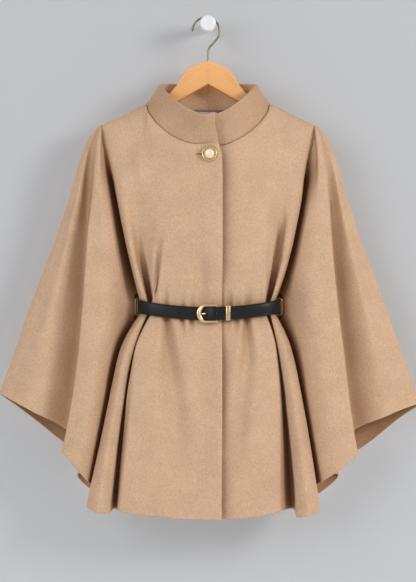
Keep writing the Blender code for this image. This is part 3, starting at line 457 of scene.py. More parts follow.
class TableCurve:
    """One table row over the drop; a line under the belt runs straight to it from above and from below."""

    def __init__(self, row, belted):
        above = [row.chest, row.bust, row.belt]
        below = [row.flare, row.hip, row.hem]
        if belted:
            self.upper = Curve([DROPS.chest, DROPS.bust, DROPS.belt_high], above)
            self.lower = Curve([DROPS.belt_low, DROPS.flare, DROPS.hip, DROPS.hem], [row.belt] + below)
        else:
            drops = [DROPS.chest, DROPS.bust, BELT_DROP, DROPS.flare, DROPS.hip, DROPS.hem]
            self.upper = self.lower = Curve(drops, above + below)

    def at(self, drop):
        if self.upper is not self.lower and drop > DROPS.belt_high:
            return self.lower.at(max(drop, DROPS.belt_low))
        return self.upper.at(drop)

    def chest(self):
        return self.upper.values[0]

    def chest_slope(self):
        return self.upper.slopes[0]


def neck_point(ring, share, back):
    """Point on a ring round the neck; share runs from the centre to the side of the neck."""
    angle = share * math.pi / 2
    centre = math.cos(angle)
    out = ring.half_width * math.sin(angle)
    if back:
        fore = SHOULDER_FORE - ring.back_reach * centre
        return np.array([out, fore, ring.side_drop + ring.back_fall * centre])
    fall = ring.front_fall * max(0.0, 1 - abs(math.sin(angle)) ** ring.flatness) ** ring.fullness
    return np.array([out, SHOULDER_FORE + ring.front_reach * centre, ring.side_drop + fall])


def shoulder_point(share, face):
    """Point on the shoulder seam; face is 1 on the front panel and -1 on the back."""
    out = NECKLINE.half_width + (SHOULDER_SEAM_END_OUT - NECKLINE.half_width) * share
    drop = NECKLINE.side_drop + (SHOULDER_SEAM_END_DROP - NECKLINE.side_drop) * share
    return np.array([out, SHOULDER_FORE + face * SEAM_GAP / 2, drop])


def cap_point(share):
    """Point round the shoulder end, from the front of the wing's top to its back."""
    angle = share * math.pi
    out = SHOULDER_OUT - CAP_BULGE + CAP_BULGE * math.sin(angle)
    return np.array([out, SHOULDER_FORE + CAP_REACH * math.cos(angle), SHOULDER_DROP])


def top_point(line):
    """Upper end of a line."""
    if line.top == "cap":
        return cap_point(line.share)
    if line.top.endswith("neck"):
        return neck_point(NECKLINE, line.share, back=line.top == "back_neck")
    return shoulder_point(line.share, 1 if line.top == "front_shoulder" else -1)


def line_points(line, side, rows):
    """Points (out, fore, drop) of one fold line at every row, from its top to its hem."""
    out_row = OUT_LEFT.get(line.name, OUT[line.name]) if side == WEARER_LEFT else OUT[line.name]
    out_curve = TableCurve(out_row, line.name in BELTED)
    fore_curve = TableCurve(FORE[line.name], line.name in BELTED)
    top = top_point(line)
    hem = line.hem + (line.droop if side == WEARER_LEFT else 0)
    length = DROPS.chest - top[2]
    chest_out = out_curve.chest()
    level = fore_curve.chest() + line.sunk
    points = []
    for kind, value in rows:
        if kind == "yoke":
            angle = value * math.pi / 2
            share = 1 - math.cos(angle)
            drop = top[2] + length * share
            reach = math.sin(angle)
            even = hermite(share, top[0], chest_out, chest_out - top[0], out_curve.chest_slope() * length)
            bowed = top[0] + (chest_out - top[0]) * reach
            out = even + (bowed - even) * line.bow
            fore = top[1] + (level - top[1]) * reach - line.sunk * share ** SINK_POWER
            fore += fore_curve.chest_slope() * (drop - DROPS.chest) * share ** 2
        else:
            drop = value if kind == "body" else DROPS.belt_low + (hem - DROPS.belt_low) * value
            out = out_curve.at(drop)
            fore = fore_curve.at(drop)
        points.append((out, fore, drop))
    return np.array(points)


# Materials

class Nodes:
    """Small helper that adds nodes to one material."""

    def __init__(self, name):
        self.material = bpy.data.materials.new(name)
        self.material.use_nodes = True
        self.tree = self.material.node_tree
        self.shader = self.tree.nodes["Principled BSDF"]
        self.places = self.tree.nodes.new("ShaderNodeTexCoord").outputs["Object"]

    def set(self, **values):
        """Constant values on the shader's own sockets."""
        for name, value in values.items():
            socket = self.shader.inputs[name.replace("_", " ")]
            socket.default_value = (*value, 1.0) if isinstance(value, tuple) else value

    def node(self, kind, values=None, **settings):
        """New node with its own settings and with values on its inputs."""
        made = self.tree.nodes.new(kind)
        for name, value in settings.items():
            setattr(made, name, value)
        for name, value in (values or {}).items():
            made.inputs[name].default_value = value
        return made

    def link(self, source, target):
        self.tree.links.new(source, target)

    def stretched(self, scale, turn=(0.0, 0.0, 0.0), places=None):
        """Object places stretched and turned."""
        mapping = self.node("ShaderNodeMapping", {"Scale": scale, "Rotation": turn})
        self.link(places or self.places, mapping.inputs["Vector"])
        return mapping.outputs["Vector"]

    def noise(self, scale, detail=2.0, roughness=0.5, distortion=0.0, places=None):
        made = self.node("ShaderNodeTexNoise", {
            "Scale": scale, "Detail": detail, "Roughness": roughness, "Distortion": distortion})
        self.link(places or self.places, made.inputs["Vector"])
        return made.outputs["Fac"]

    def ramp(self, share, stops):
        """Colour or value over a share; stops are (place, colour)."""
        stops = list(stops)
        made = self.node("ShaderNodeValToRGB")
        ends = made.color_ramp.elements
        while len(ends) < len(stops):
            ends.new(0.5)
        for end, (place, colour) in zip(ends, stops):
            end.position = place
            end.color = (*colour, 1.0) if isinstance(colour, tuple) else (colour, colour, colour, 1.0)
        self.link(share, made.inputs["Fac"])
        return made.outputs["Color"]

    def multiply(self, product, *factors):
        for factor in factors:
            made = self.node("ShaderNodeVectorMath", operation="MULTIPLY")
            self.link(product, made.inputs[0])
            self.link(factor, made.inputs[1])
            product = made.outputs[0]
        return product

    def hollow(self, reach):
        """How open the surface is to its surroundings, from 0 deep in a fold to 1, for shade painted into a
        colour.
        """
        return self.node("ShaderNodeAmbientOcclusion", {"Distance": reach * MM}, samples=8).outputs["AO"]

    def bump(self, height, strength, distance, below=None):
        made = self.node("ShaderNodeBump", {"Strength": strength, "Distance": distance * MM})
        self.link(height, made.inputs["Height"])
        if below:
            self.link(below, made.inputs["Normal"])
        return made.outputs["Normal"]

    def finish(self, colour=None, rough=None, normal=None):
        for source, socket in ((colour, "Base Color"), (rough, "Roughness"), (normal, "Normal")):
            if source:
                self.link(source, self.shader.inputs[socket])
        return self.material


def wool_material(name, shade, reach, deep, half):
    """Felted wool: cloudy camel tone, fine mottled nap and short fibres, with painted shade deep in the folds
    and a faint painted glow.
    """
    n = Nodes(name)
    dark, light = (tuple(np.multiply(tone, shade)) for tone in (WOOL_DARK, WOOL_LIGHT))
    cloudy = n.ramp(n.noise(22.0), ((0.25, dark), (0.75, light)))
    mottle = n.ramp(n.noise(420.0, roughness=0.7), ((0.25, 0.83), (0.75, 1.15)))
    fibre_places = n.stretched((1.0, 1.0, 0.35), (0.0, 0.3, 0.0))
    fibre = n.noise(900.0, roughness=0.6, distortion=0.6, places=fibre_places)
    flecks = n.ramp(fibre, ((0.30, 0.86), (0.70, 1.11)))
    # Painted shade: the colour darkens where folds, gaps and nearby parts close in the surface
    folds = n.ramp(n.hollow(reach), ((0.0, deep), (0.5, half), (1.0, 1.0)))
    nap = n.bump(n.noise(300.0, detail=3.0), strength=0.20, distance=0.4)
    normal = n.bump(fibre, strength=0.30, distance=0.25, below=nap)
    # Painted glow: a faint warm emission that keeps the cloth's darkest shade brown
    n.set(Roughness=0.95, Sheen_Weight=0.22, Sheen_Roughness=0.30, Sheen_Tint=(1.0, 0.80, 0.62),
          Specular_IOR_Level=0.08, Emission_Color=WOOL_PAINTED_GLOW, Emission_Strength=1.0)
    return n.finish(n.multiply(cloudy, mottle, flecks, folds), normal=normal)


def satin_material(name, dark, light):
    """Satin with fine threads across."""
    n = Nodes(name)
    threads = n.noise(900.0, detail=1.0, places=n.stretched((1.0, 1.0, 6.0)))
    n.set(Roughness=0.45, Sheen_Weight=0.2)
    colour = n.ramp(threads, ((0.30, dark), (0.70, light)))
    return n.finish(colour, normal=n.bump(threads, strength=0.2, distance=0.15))


def leather_material(name, dark, light, roughness):
    """Smooth leather with fine grain and slightly uneven gloss."""
    n = Nodes(name)
    colour = n.ramp(n.noise(60.0, detail=4.0), ((0.30, dark), (0.75, light)))
    grain = n.node("ShaderNodeTexVoronoi", {"Scale": 900.0, "Smoothness": 0.4}, feature="SMOOTH_F1")
    n.link(n.places, grain.inputs["Vector"])
    gloss = n.ramp(n.noise(45.0, detail=3.0), ((0.25, roughness - 0.06), (0.75, roughness + 0.08)))
    n.set(Specular_IOR_Level=0.18)
    return n.finish(colour, gloss, n.bump(grain.outputs["Distance"], strength=0.18, distance=0.12))


def metal_material(name, bright, dull, roughness):
    """Polished metal with faint wear in its gloss and tone."""
    n = Nodes(name)
    tone = n.ramp(n.noise(120.0), ((0.30, dull), (0.70, bright)))
    gloss = n.ramp(n.noise(420.0), ((0.25, roughness), (0.80, roughness + 0.06)))
    n.set(Metallic=1.0)
    return n.finish(tone, gloss)


def mottled_material(name, scale, detail, dark, light, grain=None, **values):
    """Smooth finish of two close tones, slightly uneven where it has a grain."""
    n = Nodes(name)
    n.set(**values)
    colour = n.ramp(n.noise(scale, detail), ((0.30, dark), (0.70, light)))
    return n.finish(colour, normal=n.bump(n.noise(grain), strength=0.05, distance=0.1) if grain else None)


def wood_material(name):
    """Varnished honey wood whose grain runs along each arm and meets at the centre."""
    n = Nodes(name)
    parts = n.node("ShaderNodeSeparateXYZ")
    n.link(n.places, parts.inputs[0])
    mirrored = n.node("ShaderNodeMath", operation="ABSOLUTE").outputs[0]
    n.link(parts.outputs["X"], mirrored.node.inputs[0])
    joined = n.node("ShaderNodeCombineXYZ")
    for axis, source in (("X", mirrored), ("Y", parts.outputs["Y"]), ("Z", parts.outputs["Z"])):
        n.link(source, joined.inputs[axis])
    along = n.stretched((1.0, 1.0, 1.0), (0.0, HANGER_GRAIN_TURN, 0.0), joined.outputs[0])
    grain_places = n.stretched((14.0, 130.0, 230.0), places=along)
    grain = n.noise(1.0, detail=5.0, roughness=0.6, distortion=0.8, places=grain_places)
    fine = n.noise(4.0, detail=3.0, roughness=0.6, distortion=0.2, places=grain_places)
    colour = n.ramp(grain, zip((0.25, 0.50, 0.75), WOOD_TONES))
    streaks = n.ramp(fine, ((0.30, 0.97), (0.65, 1.015)))
    centre = n.ramp(mirrored, ((0.0002, 0.95), (0.0008, 1.0)))
    n.set(Roughness=0.42, Coat_Weight=0.35, Coat_Roughness=0.25)
    return n.finish(n.multiply(colour, streaks, centre), normal=n.bump(fine, strength=0.12, distance=0.2))


WOOL_DARK = (0.525, 0.347, 0.225)
WOOL_LIGHT = (0.590, 0.395, 0.261)
# Faint warm painted glow of the wool
WOOL_PAINTED_GLOW = (0.011, 0.004, 0.0012)
# Painted shade in the collar's folds: its deepest and its half-way colour
COLLAR_FOLD_SHADE = ((0.45, 0.33, 0.25), (0.80, 0.74, 0.69))
WOOD_TONES = ((0.735, 0.353, 0.118), (0.785, 0.394, 0.142), (0.825, 0.43, 0.165))
HANGER_GRAIN_TURN = math.radians(-32.0)
MATERIALS = {
    "wool": wool_material("wool_felt", (0.97, 0.97, 0.97), 60.0, (0.25, 0.12, 0.04), (0.73, 0.66, 0.59)),
    # Inner faces of the cloth: a darker copy of the wool as painted shade, its fold shade reaching far into
    # the hollows
    "inner_wool": wool_material(
        "inner_felt_painted_shade", (0.95, 0.92, 0.88), 200.0, (0.18, 0.09, 0.035), (0.52, 0.42, 0.33)),
    # Collar: a darker copy of the wool as painted shade, with painted shade in its small folds
    "collar_wool": wool_material("collar_felt_painted_shade", (0.84, 0.817, 0.79), 20.0, *COLLAR_FOLD_SHADE),
    # Inside of the collar: a lighter copy of the wool as painted light, with painted shade in its small folds
    "neck_wool": wool_material("neck_felt_painted_light", (1.22, 1.22, 1.18), 20.0, *COLLAR_FOLD_SHADE),
    "label_satin": satin_material("label_grey_satin", (0.64, 0.62, 0.62), (0.80, 0.78, 0.78)),
    "belt_leather": leather_material(
        "belt_black_leather", (0.009, 0.009, 0.0092), (0.014, 0.014, 0.0142), 0.38),
    "tan_leather": leather_material("belt_tan_lining", (0.32, 0.13, 0.035), (0.42, 0.19, 0.06), 0.5),
    "gold": metal_material("pale_gold", (0.93, 0.70, 0.40), (0.86, 0.60, 0.31), 0.26),
    "ring_gold": metal_material("aged_gold", (0.50, 0.38, 0.22), (0.36, 0.26, 0.14), 0.34),
    "button_gold": metal_material("deep_gold", (0.84, 0.56, 0.22), (0.58, 0.34, 0.10), 0.24),
    "pearl": mottled_material(
        "pearl_lustre", 160.0, 3.0, (0.68, 0.58, 0.45), (0.80, 0.72, 0.60), Roughness=0.22, Coat_Weight=0.6,
        Coat_Roughness=0.06, Sheen_Weight=0.2, Specular_IOR_Level=0.6),
    "hanger_wood": wood_material("hanger_honey_wood"),
    "hook_wire": metal_material("antique_wire", (0.33, 0.275, 0.21), (0.23, 0.185, 0.135), 0.34),
    "peg_white": mottled_material(
        "peg_white_paint", 90.0, 3.0, (0.68, 0.68, 0.685), (0.74, 0.74, 0.745), 700.0, Roughness=0.35,
        Coat_Weight=0.2, Coat_Roughness=0.2),
    "thread": mottled_material(
        "buttonhole_thread", 1500.0, 1.0, (0.16, 0.09, 0.045), (0.27, 0.16, 0.085), Roughness=0.8,
        Sheen_Weight=0.2),
}

# Fine sampling of the cloth: rows down each line and columns in each span between two lines
YOKE_ROWS = 24
CHEST_ROWS = 20
WAIST_ROWS = 28
BELT_ROWS = 8
SKIRT_ROWS = 60
HEM_SHARES = (0.9915, 0.9968, 1.0)
FRONT_COLUMNS = 14
WING_COLUMNS = 11
BACK_COLUMNS = 12
EDGE_SHARES = (0.010, 0.026, 0.046)
LEAST_CHORD = 1e-6
LEAST_REACH = 1e-9

# Soft troughs pressed into the cloth (a negative depth is a ridge). Each runs from x_top at drop_top to
# x_low at drop_low, its width changes from one end to the other, and it is deepest at the share "peak".
Crease = namedtuple("Crease", "x_top x_low drop_top drop_low width_top width_low depth peak")
FRONT_CREASES = (
    Crease(-142, -108, 380, 540, 7, 5, 11.0, 0.72),
    Crease(-91, -103, 392, 540, 9, 4, 9.0, 0.62),
    Crease(146, 117, 365, 536, 8, 5, 8.0, 0.50),
    Crease(-30, -28, 500, 576, 8, 5, 5.0, 0.70),
    Crease(-84, -80, 478, 574, 9, 6, 5.0, 0.74),
    Crease(-50, -48, 510, 576, 7, 5, 5.0, 0.74),
    Crease(-14, -15, 410, 560, 20, 18, 7.0, 0.62),
    Crease(41, 40, 498, 576, 8, 5, 5.0, 0.70),
    Crease(78, 76, 472, 576, 10, 6, 5.5, 0.72),
    Crease(57, 56, 512, 576, 7, 4, 3.0, 0.75),
    Crease(-79, -73, 545, 690, 6, 22, 11.0, 0.20),
    Crease(-30, -32, 548, 604, 5, 8, 6.0, 0.40),
    Crease(72, 80, 545, 680, 5, 20, 10.0, 0.20),
    Crease(54, 53, 548, 600, 5, 7, 4.0, 0.42),
    Crease(-49, -48, 550, 610, 4, 8, 4.5, 0.40),
    Crease(101, 109, 548, 642, 7, 14, 2.0, 0.30),
    Crease(-78, -46, 590, 900, 20, 40, 10.0, 0.42),
    Crease(-6, -10, 560, 900, 30, 34, 3.5, 0.30),
    Crease(78, 50, 590, 880, 14, 28, 7.5, 0.42),
    Crease(-141, -180, 600, 960, 7, 8, 5.5, 0.60),
    Crease(-106, -98, 248, 425, 26, 34, 1.7, 0.50),
    Crease(95, 97, 240, 415, 26, 33, 1.3, 0.45),
    Crease(-152, -139, 232, 385, 16, 22, 1.9, 0.45),
    Crease(153, 141, 228, 372, 16, 22, 1.7, 0.45),
)
WING_CREASES = (
    Crease(-214, -216, 290, 640, 14, 22, 1.6, 0.45),
    Crease(-223, -236, 215, 400, 9, 14, 4.5, 0.40),
    Crease(227, 247, 260, 470, 9, 12, -3.0, 0.45),
    Crease(-262, -318, 380, 760, 18, 34, 2.2, 0.60),
    Crease(-281, -372, 430, 742, 16, 30, -1.5, 0.55),
    Crease(213, 213, 300, 660, 14, 22, 1.5, 0.40),
    Crease(266, 329, 400, 770, 18, 34, 2.0, 0.60),
    Crease(287, 384, 450, 752, 16, 30, -1.4, 0.50),
    Crease(-236, -276, 560, 840, 20, 30, 1.6, 0.60),
    Crease(237, 279, 590, 842, 20, 30, 1.5, 0.65),
)
BACK_CREASES = (
    Crease(-24, -33, 240, 935, 16, 34, 2.4, 0.62),
    Crease(41, 60, 330, 940, 18, 36, 2.8, 0.66),
    Crease(-78, -104, 215, 900, 18, 38, 2.2, 0.55),
    Crease(104, 131, 250, 925, 18, 36, 2.4, 0.60),
    Crease(-143, -171, 300, 920, 18, 34, 2.6, 0.58),
    Crease(170, 205, 360, 890, 16, 30, 2.0, 0.60),
    Crease(8, 12, 470, 940, 20, 30, -1.6, 0.55),
    Crease(-55, -66, 420, 930, 18, 30, -1.5, 0.60),
    Crease(-205, -282, 380, 800, 18, 36, 2.2, 0.60),
    Crease(228, 306, 420, 815, 18, 36, 2.0, 0.58),
    Crease(-262, -352, 470, 790, 16, 30, -1.4, 0.60),
)

# Uneven swell of the cloth in layers, each with its wavelength and height
Swell = namedtuple("Swell", "wavelength height seed")
SWELLS = (Swell(120.0, 1.1, 3.1), Swell(46.0, 0.40, 17.7), Swell(15.0, 0.14, 41.3))
RELIEF_FADE = 38.0
WING_LAYER_FORE = 61.0
WING_LAYER_BLEND = 8.0
BELT_CLEAR_OUT = 96.0
BELT_CLEAR_HEIGHT = 34.0
BELT_CLEAR_RELIEF = 0.6
BELT_CLEAR_BLEND = 10.0
BELT_CLEAR_FADE = 20.0

# Edges: how far an edge rolls under, how much thicker a turned edge is, and the shape of lap and collar
EDGE_ROLL = 0.62
REAR_ROLL = 0.7
SEAM_ROLL = 0.35
COLLAR_ROLL = 0.4
TURNED_EXTRA = 0.8
TURNED_REACH = 11.0
LAP_ROUND = 3.2
LAP_ROUND_REACH = 8.0
LAP_HOLLOW = 3.8
LAP_HOLLOW_IN = 6.0
LAP_HOLLOW_OUT = 24.0
LAP_SWELL = 8.0
LAP_SWELL_REACH = 48.0
LAP_SWELL_CLEAR = 30.0
LAP_SWELL_FADE = 70.0
LAP_JOG_DROPS = (187.0, 212.0, 238.0, 256.0)
LAP_JOGS = (9.0, 7.0, 5.5, 0.0)
LAP_JOG_REACH = 34.0
COLLAR_HOLLOW = 2.5
COLLAR_TOP_ROLL = 2.4
COLLAR_ROLL_FROM = 0.86
COLLAR_PROW = 11.0
COLLAR_PROW_REACH = 95.0
COLLAR_EDGE_WALL = 4.2
COLLAR_CORNER = 7.0
COLLAR_ROWS = (0.0, 0.02, 0.06, 0.13, 0.22, 0.33, 0.45, 0.57, 0.69, 0.80, 0.89, 0.95, 0.985, 1.0)


def unit(vectors):
    """Vectors of length 1."""
    return vectors / np.linalg.norm(vectors, axis=-1, keepdims=True)


def cloth_rows():
    """Rows from the neck and shoulders down to the hem, closer together at the hem's edge."""
    rows = [("yoke", i / YOKE_ROWS) for i in range(YOKE_ROWS)]
    for top, low, count in ((DROPS.chest, DROPS.bust, CHEST_ROWS), (DROPS.bust, DROPS.belt_high, WAIST_ROWS),
                            (DROPS.belt_high, DROPS.belt_low, BELT_ROWS)):
        rows += [("body", drop) for drop in np.linspace(top, low, count, endpoint=False)]
    rows += [("skirt", i / SKIRT_ROWS) for i in range(SKIRT_ROWS)]
    return rows + [("skirt", share) for share in HEM_SHARES]


def path_lengths(points):
    """Length along a row of points from its first one."""
    return np.concatenate([[0.0], np.cumsum(np.linalg.norm(np.diff(points, axis=0), axis=1))])


def spaced(points):
    """Knots of a smooth curve through the points of one row, and its tangents there."""
    chords = np.linalg.norm(np.diff(points, axis=0), axis=1)
    knots = np.concatenate([[0.0], np.cumsum(np.sqrt(np.maximum(chords, LEAST_CHORD)))])
    widths = np.diff(knots)
    rates = np.diff(points, axis=0) / widths[:, None]
    tangents = np.concatenate([rates[:1], rates])
    for i in range(1, len(points) - 1):
        tangents[i] = (rates[i - 1] * widths[i] + rates[i] * widths[i - 1]) / (widths[i - 1] + widths[i])
    return knots, tangents


def span_points(shares, i, points, knots, tangents):
    """Points of a smooth curve at shares of its span i."""
    width = knots[i + 1] - knots[i]
    return hermite(shares, points[i], points[i + 1], tangents[i] * width, tangents[i + 1] * width)


def column_shares(first, last, count):
    """Places of a panel's columns as (span, share), closer together at its two edges."""
    i_first = LINE_NAMES.index(first)
    i_last = LINE_NAMES.index(last)
    columns = []
    for i in range(i_first, i_last):
        shares = list(np.linspace(0, 1, count, endpoint=False))
        if i == i_first:
            shares[1:1] = EDGE_SHARES
        if i == i_last - 1:
            shares += [1 - share for share in reversed(EDGE_SHARES)] + [1.0]
        columns += [(i, share) for share in shares]
    return columns


def panel_grid(lines, columns, start_cut=None, end_cut=None):
    """Smooth grid over some columns; the cuts trim its first and last span row by row."""
    i_first = columns[0][0]
    i_last = columns[-1][0]
    grid = []
    for points in lines:
        knots, tangents = spaced(points)
        tangents *= 1 - CRISPNESS * smooth_step((points[:, 2:] - CRISP_TOP) / CRISP_REACH)
        row = []
        for i in range(i_first, i_last + 1):
            chord = np.linalg.norm(points[i + 1] - points[i])
            low = start_cut(points[i][2], chord) if start_cut and i == i_first else 0.0
            high = 1 - end_cut(points[i][2], chord) if end_cut and i == i_last else 1.0
            shares = np.array([low + (high - low) * share for span, share in columns if span == i])[:, None]
            row.append(span_points(shares, i, points, knots, tangents))
        grid.append(np.concatenate(row))
    return np.array(grid)


def seam_cut(drop, chord):
    """Share of a span that the seam takes, the same at every drop."""
    return min(MOST_SEAM_SHARE, SIDE_SEAM_CUT / chord)


def slit_cut(drop, chord):
    """Seam gap that opens into the arm slit below the shoulder and wider where the belt goes through."""
    near_belt = smooth_step((BELT_SLIT_HALF_HEIGHT - abs(drop - BELT_SIDE_DROP)) / BELT_SLIT_END)
    width = ARM_SLIT_WIDTH * smooth_step((drop - ARM_SLIT_TOP) / ARM_SLIT_END)
    width += (BELT_SLIT_WIDTH - width) * near_belt
    return seam_cut(drop, chord) + width / chord


# Relief of the cloth

def crease_depths(x, drop, creases):
    """Sum of the soft troughs at these places, each with a low ridge on both sides."""
    total = np.zeros_like(x)
    for crease in creases:
        share = np.clip((drop - crease.drop_top) / (crease.drop_low - crease.drop_top), 0.0, 1.0)
        along = np.sin(math.pi * share ** (math.log(0.5) / math.log(crease.peak)))
        middle = crease.x_top + (crease.x_low - crease.x_top) * share
        width = crease.width_top + (crease.width_low - crease.width_top) * share
        across = ((x - middle) / width) ** 2
        total += crease.depth * along * (1 - across) * np.exp(-across)
    return total


def swell(points):
    """Uneven smooth swell of the cloth at these places."""
    total = np.zeros(points.shape[:2])
    for layer in SWELLS:
        places = points.reshape(-1, 3) / layer.wavelength + layer.seed
        heights = [noise.noise(Vector(place)) for place in places]
        total += layer.height * np.array(heights).reshape(total.shape)
    return total


def relief(points, side, piece):
    """How far each point of a panel stands out from its smooth form, in millimetres."""
    signed = points * np.array([side, 1.0, 1.0])
    out, fore, drop = np.moveaxis(points, -1, 0)
    x = signed[..., 0]
    layers = {"front": 1.0, "back": 0.0}
    outer_layer = layers.get(piece, smooth_step((fore - WING_LAYER_FORE) / WING_LAYER_BLEND + 0.5))
    outer_creases = FRONT_CREASES if piece == "front" else WING_CREASES
    height = -crease_depths(x, drop, outer_creases) * outer_layer
    height -= crease_depths(x, drop, BACK_CREASES) * (1 - outer_layer)
    height += swell(signed)
    beside = smooth_step((out - BELT_CLEAR_OUT) / BELT_CLEAR_BLEND)
    near_belt = 1 - smooth_step((np.abs(drop - BELT_SIDE_DROP) - BELT_CLEAR_HEIGHT) / BELT_CLEAR_FADE)
    height += np.minimum(BELT_CLEAR_RELIEF - height, 0.0) * beside * near_belt
    return height * smooth_step((drop - drop[:1]) / RELIEF_FADE)


def lap_relief(points, side):
    """Rounded edge of the lapping half, or the hollow along it in the half behind, in millimetres."""
    x = points[..., 0] / MM
    drop = -points[..., 2] / MM
    edge = np.abs(x[:, :1])
    ahead = -points[..., 1] / MM > SHOULDER_FORE
    if side == WEARER_RIGHT:
        inside = np.clip((edge - x) / LAP_ROUND_REACH, 0.0, 1.0)
        near = np.clip(1 - (edge - x) / LAP_SWELL_REACH, 0.0, 1.0)
        away = smooth_step((np.abs(drop - BELT_DROP) - LAP_SWELL_CLEAR) / LAP_SWELL_FADE)
        return ahead * (LAP_SWELL * near * away - LAP_ROUND * (1 - inside) ** 2)
    beyond = x - edge
    reach = np.where(beyond < 0, LAP_HOLLOW_IN, LAP_HOLLOW_OUT)
    return -LAP_HOLLOW * ahead * np.exp(-(beyond / reach) ** 2)


def jogged(points, side):
    """Points of the lapping half with its edge stepped back towards the collar's top."""
    if side == WEARER_RIGHT:
        x = points[..., 0] / MM
        ahead = -points[..., 1] / MM > SHOULDER_FORE
        near = np.clip(1 - (x[:, :1] - x) / LAP_JOG_REACH, 0.0, 1.0)
        points[..., 0] -= ahead * near * np.interp(-points[..., 2] / MM, LAP_JOG_DROPS, LAP_JOGS) * MM
    return points


# Walls

def grid_normals(grid, side):
    """Outward normals of a grid of scene points."""
    across = np.gradient(grid, axis=1)
    down = np.gradient(grid, axis=0)
    return unit(np.cross(down, across) * side)


@contextmanager
def edited(mesh):
    """Editable form of a mesh, which is written back at the end."""
    shape = bmesh.new()
    shape.from_mesh(mesh)
    yield shape
    shape.to_mesh(mesh)
    shape.free()


def linked(name, data):
    """New object in the scene."""
    made = bpy.data.objects.new(name, data)
    bpy.context.scene.collection.objects.link(made)
    return made


def add_data(name, data, *materials):
    """New object that rides on the part."""
    built = linked(name, data)
    for material in materials:
        data.materials.append(MATERIALS[material])
    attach(built, BODY)
    return built


def add_mesh(name, points, faces, *materials):
    mesh = bpy.data.meshes.new(name)
    mesh.from_pydata(points, [], faces)
    return add_data(name, mesh, *materials)


def turn_outwards(built, sharp=None):
    """Turns the faces of a closed mesh outwards and shades them smooth, apart from its sharp edges."""
    with edited(built.data) as shape:
        bmesh.ops.recalc_face_normals(shape, faces=shape.faces)
    built.data.shade_smooth()
    if sharp:
        built.data.set_sharp_from_angle(angle=math.radians(sharp))


def rim_loop(rows, columns):
    """Grid places round the edge of a grid, in order."""
    rim = [(i, 0) for i in range(rows)] + [(rows - 1, j) for j in range(1, columns)]
    rim += [(i, columns - 1) for i in range(rows - 2, -1, -1)]
    return rim + [(0, j) for j in range(columns - 2, 0, -1)]


def wall_object(name, outer, normals, walls, rolls, *materials, inner_from=0):
    """Closed wall with rounded edges from its outer points; walls and rolls are in millimetres.

    A second material goes on its inner face from one of its rows on.
    """
    rows, columns = outer.shape[:2]
    count = rows * columns
    rim = rim_loop(rows, columns)
    sunk = np.zeros((rows, columns))
    for place in rim:
        sunk[place] = rolls[place]
    face = outer - normals * (sunk * MM)[..., None]
    rear = outer - normals * ((walls - sunk * REAR_ROLL) * MM)[..., None]
    middle = np.array([outer[p] - normals[p] * walls[p] / 2 * MM for p in rim])
    points = np.concatenate([face.reshape(-1, 3), rear.reshape(-1, 3), middle])
    faces = []
    for i in range(rows - 1):
        for j in range(columns - 1):
            a = i * columns + j
            b = a + columns
            faces.append((a, b, b + 1, a + 1))
            faces.append((a + count, a + 1 + count, b + 1 + count, b + count))
    for k, (place, following) in enumerate(zip(rim, rim[1:] + rim[:1])):
        a = place[0] * columns + place[1]
        b = following[0] * columns + following[1]
        m = 2 * count + k
        n = 2 * count + (k + 1) % len(rim)
        faces.append((a, m, n, b))
        faces.append((m, a + count, b + count, n))
    built = add_mesh(name, points.tolist(), faces, *materials)
    if len(materials) > 1:
        for k in range(2 * inner_from * (columns - 1) + 1, 2 * (rows - 1) * (columns - 1), 2):
            built.data.polygons[k].material_index = 1
    turn_outwards(built)
    return built


def lap_lift(out, side):
    """How far the lapping front stands off the middle of the lap, or the other front behind it."""
    lift = LAP_RISE * (1 - smooth_step(out / LAP_BLEND_OUT))
    return lift if side == WEARER_RIGHT else -lift


def lapped(grid, side):
    """Front grid moved forwards or back at the lap."""
    lifted = grid.copy()
    lifted[..., 1] += lap_lift(grid[..., 0], side)
    return lifted


def scene_grid(grid, side):
    """Scene points, in metres, of a grid of (out, fore, drop)."""
    return grid * np.array([side, -1.0, -1.0]) * MM


def collar_grid(neckline, shares, back, side):
    """Collar from just above its neckline points up to its rolled top edge, slightly hollow."""
    rings = []
    for base, share, length in zip(neckline, shares, path_lengths(neckline)):
        top = neck_point(COLLAR_TOP, share, back)
        if not back:
            top[1] += lap_lift(top[0], side) * COLLAR_WALL / CLOTH_WALL
            top[1] += COLLAR_PROW * max(0.0, 1 - abs(top[0]) / COLLAR_PROW_REACH)
        rise = top - base
        height = np.linalg.norm(rise)
        start = base + rise / height * COLLAR_SEAM_GAP
        if not back and length < COLLAR_CORNER:
            short = COLLAR_CORNER - math.sqrt(COLLAR_CORNER ** 2 - (COLLAR_CORNER - length) ** 2)
            top = top - rise / height * short
        outwards = unit(np.array([base[0], base[1] - SHOULDER_FORE, 0.0]) + LEAST_REACH)
        column = []
        for up in COLLAR_ROWS:
            roll = COLLAR_TOP_ROLL * max(0.0, (up - COLLAR_ROLL_FROM) / (1 - COLLAR_ROLL_FROM)) ** 2
            inwards = COLLAR_HOLLOW * math.sin(up * math.pi) + roll
            column.append(start + (top - start) * up - outwards * inwards)
        rings.append(column)
    return np.array(rings).transpose(1, 0, 2)


def neck_shares(columns):
    """Neck shares of these columns."""
    shares = []
    for i, share in columns:
        here = LINES[i].share
        shares.append(here + (LINES[i + 1].share - here) * share)
    return shares


def edge_walls(lengths):
    """Wall of each point, thicker where the length to a turned edge is short."""
    return CLOTH_WALL + TURNED_EXTRA * (1 - smooth_step(lengths / TURNED_REACH))


def lengths_from(points, axis):
    """Length along one axis of a grid of scene points from its first row or column, in millimetres."""
    steps = np.linalg.norm(np.diff(points, axis=axis), axis=2) / MM
    return np.insert(np.cumsum(steps, axis=axis), 0, 0.0, axis=axis)


def hem_lengths(points):
    """Length of each point of a grid from the hem, in millimetres."""
    return lengths_from(points[::-1], 0)[::-1]


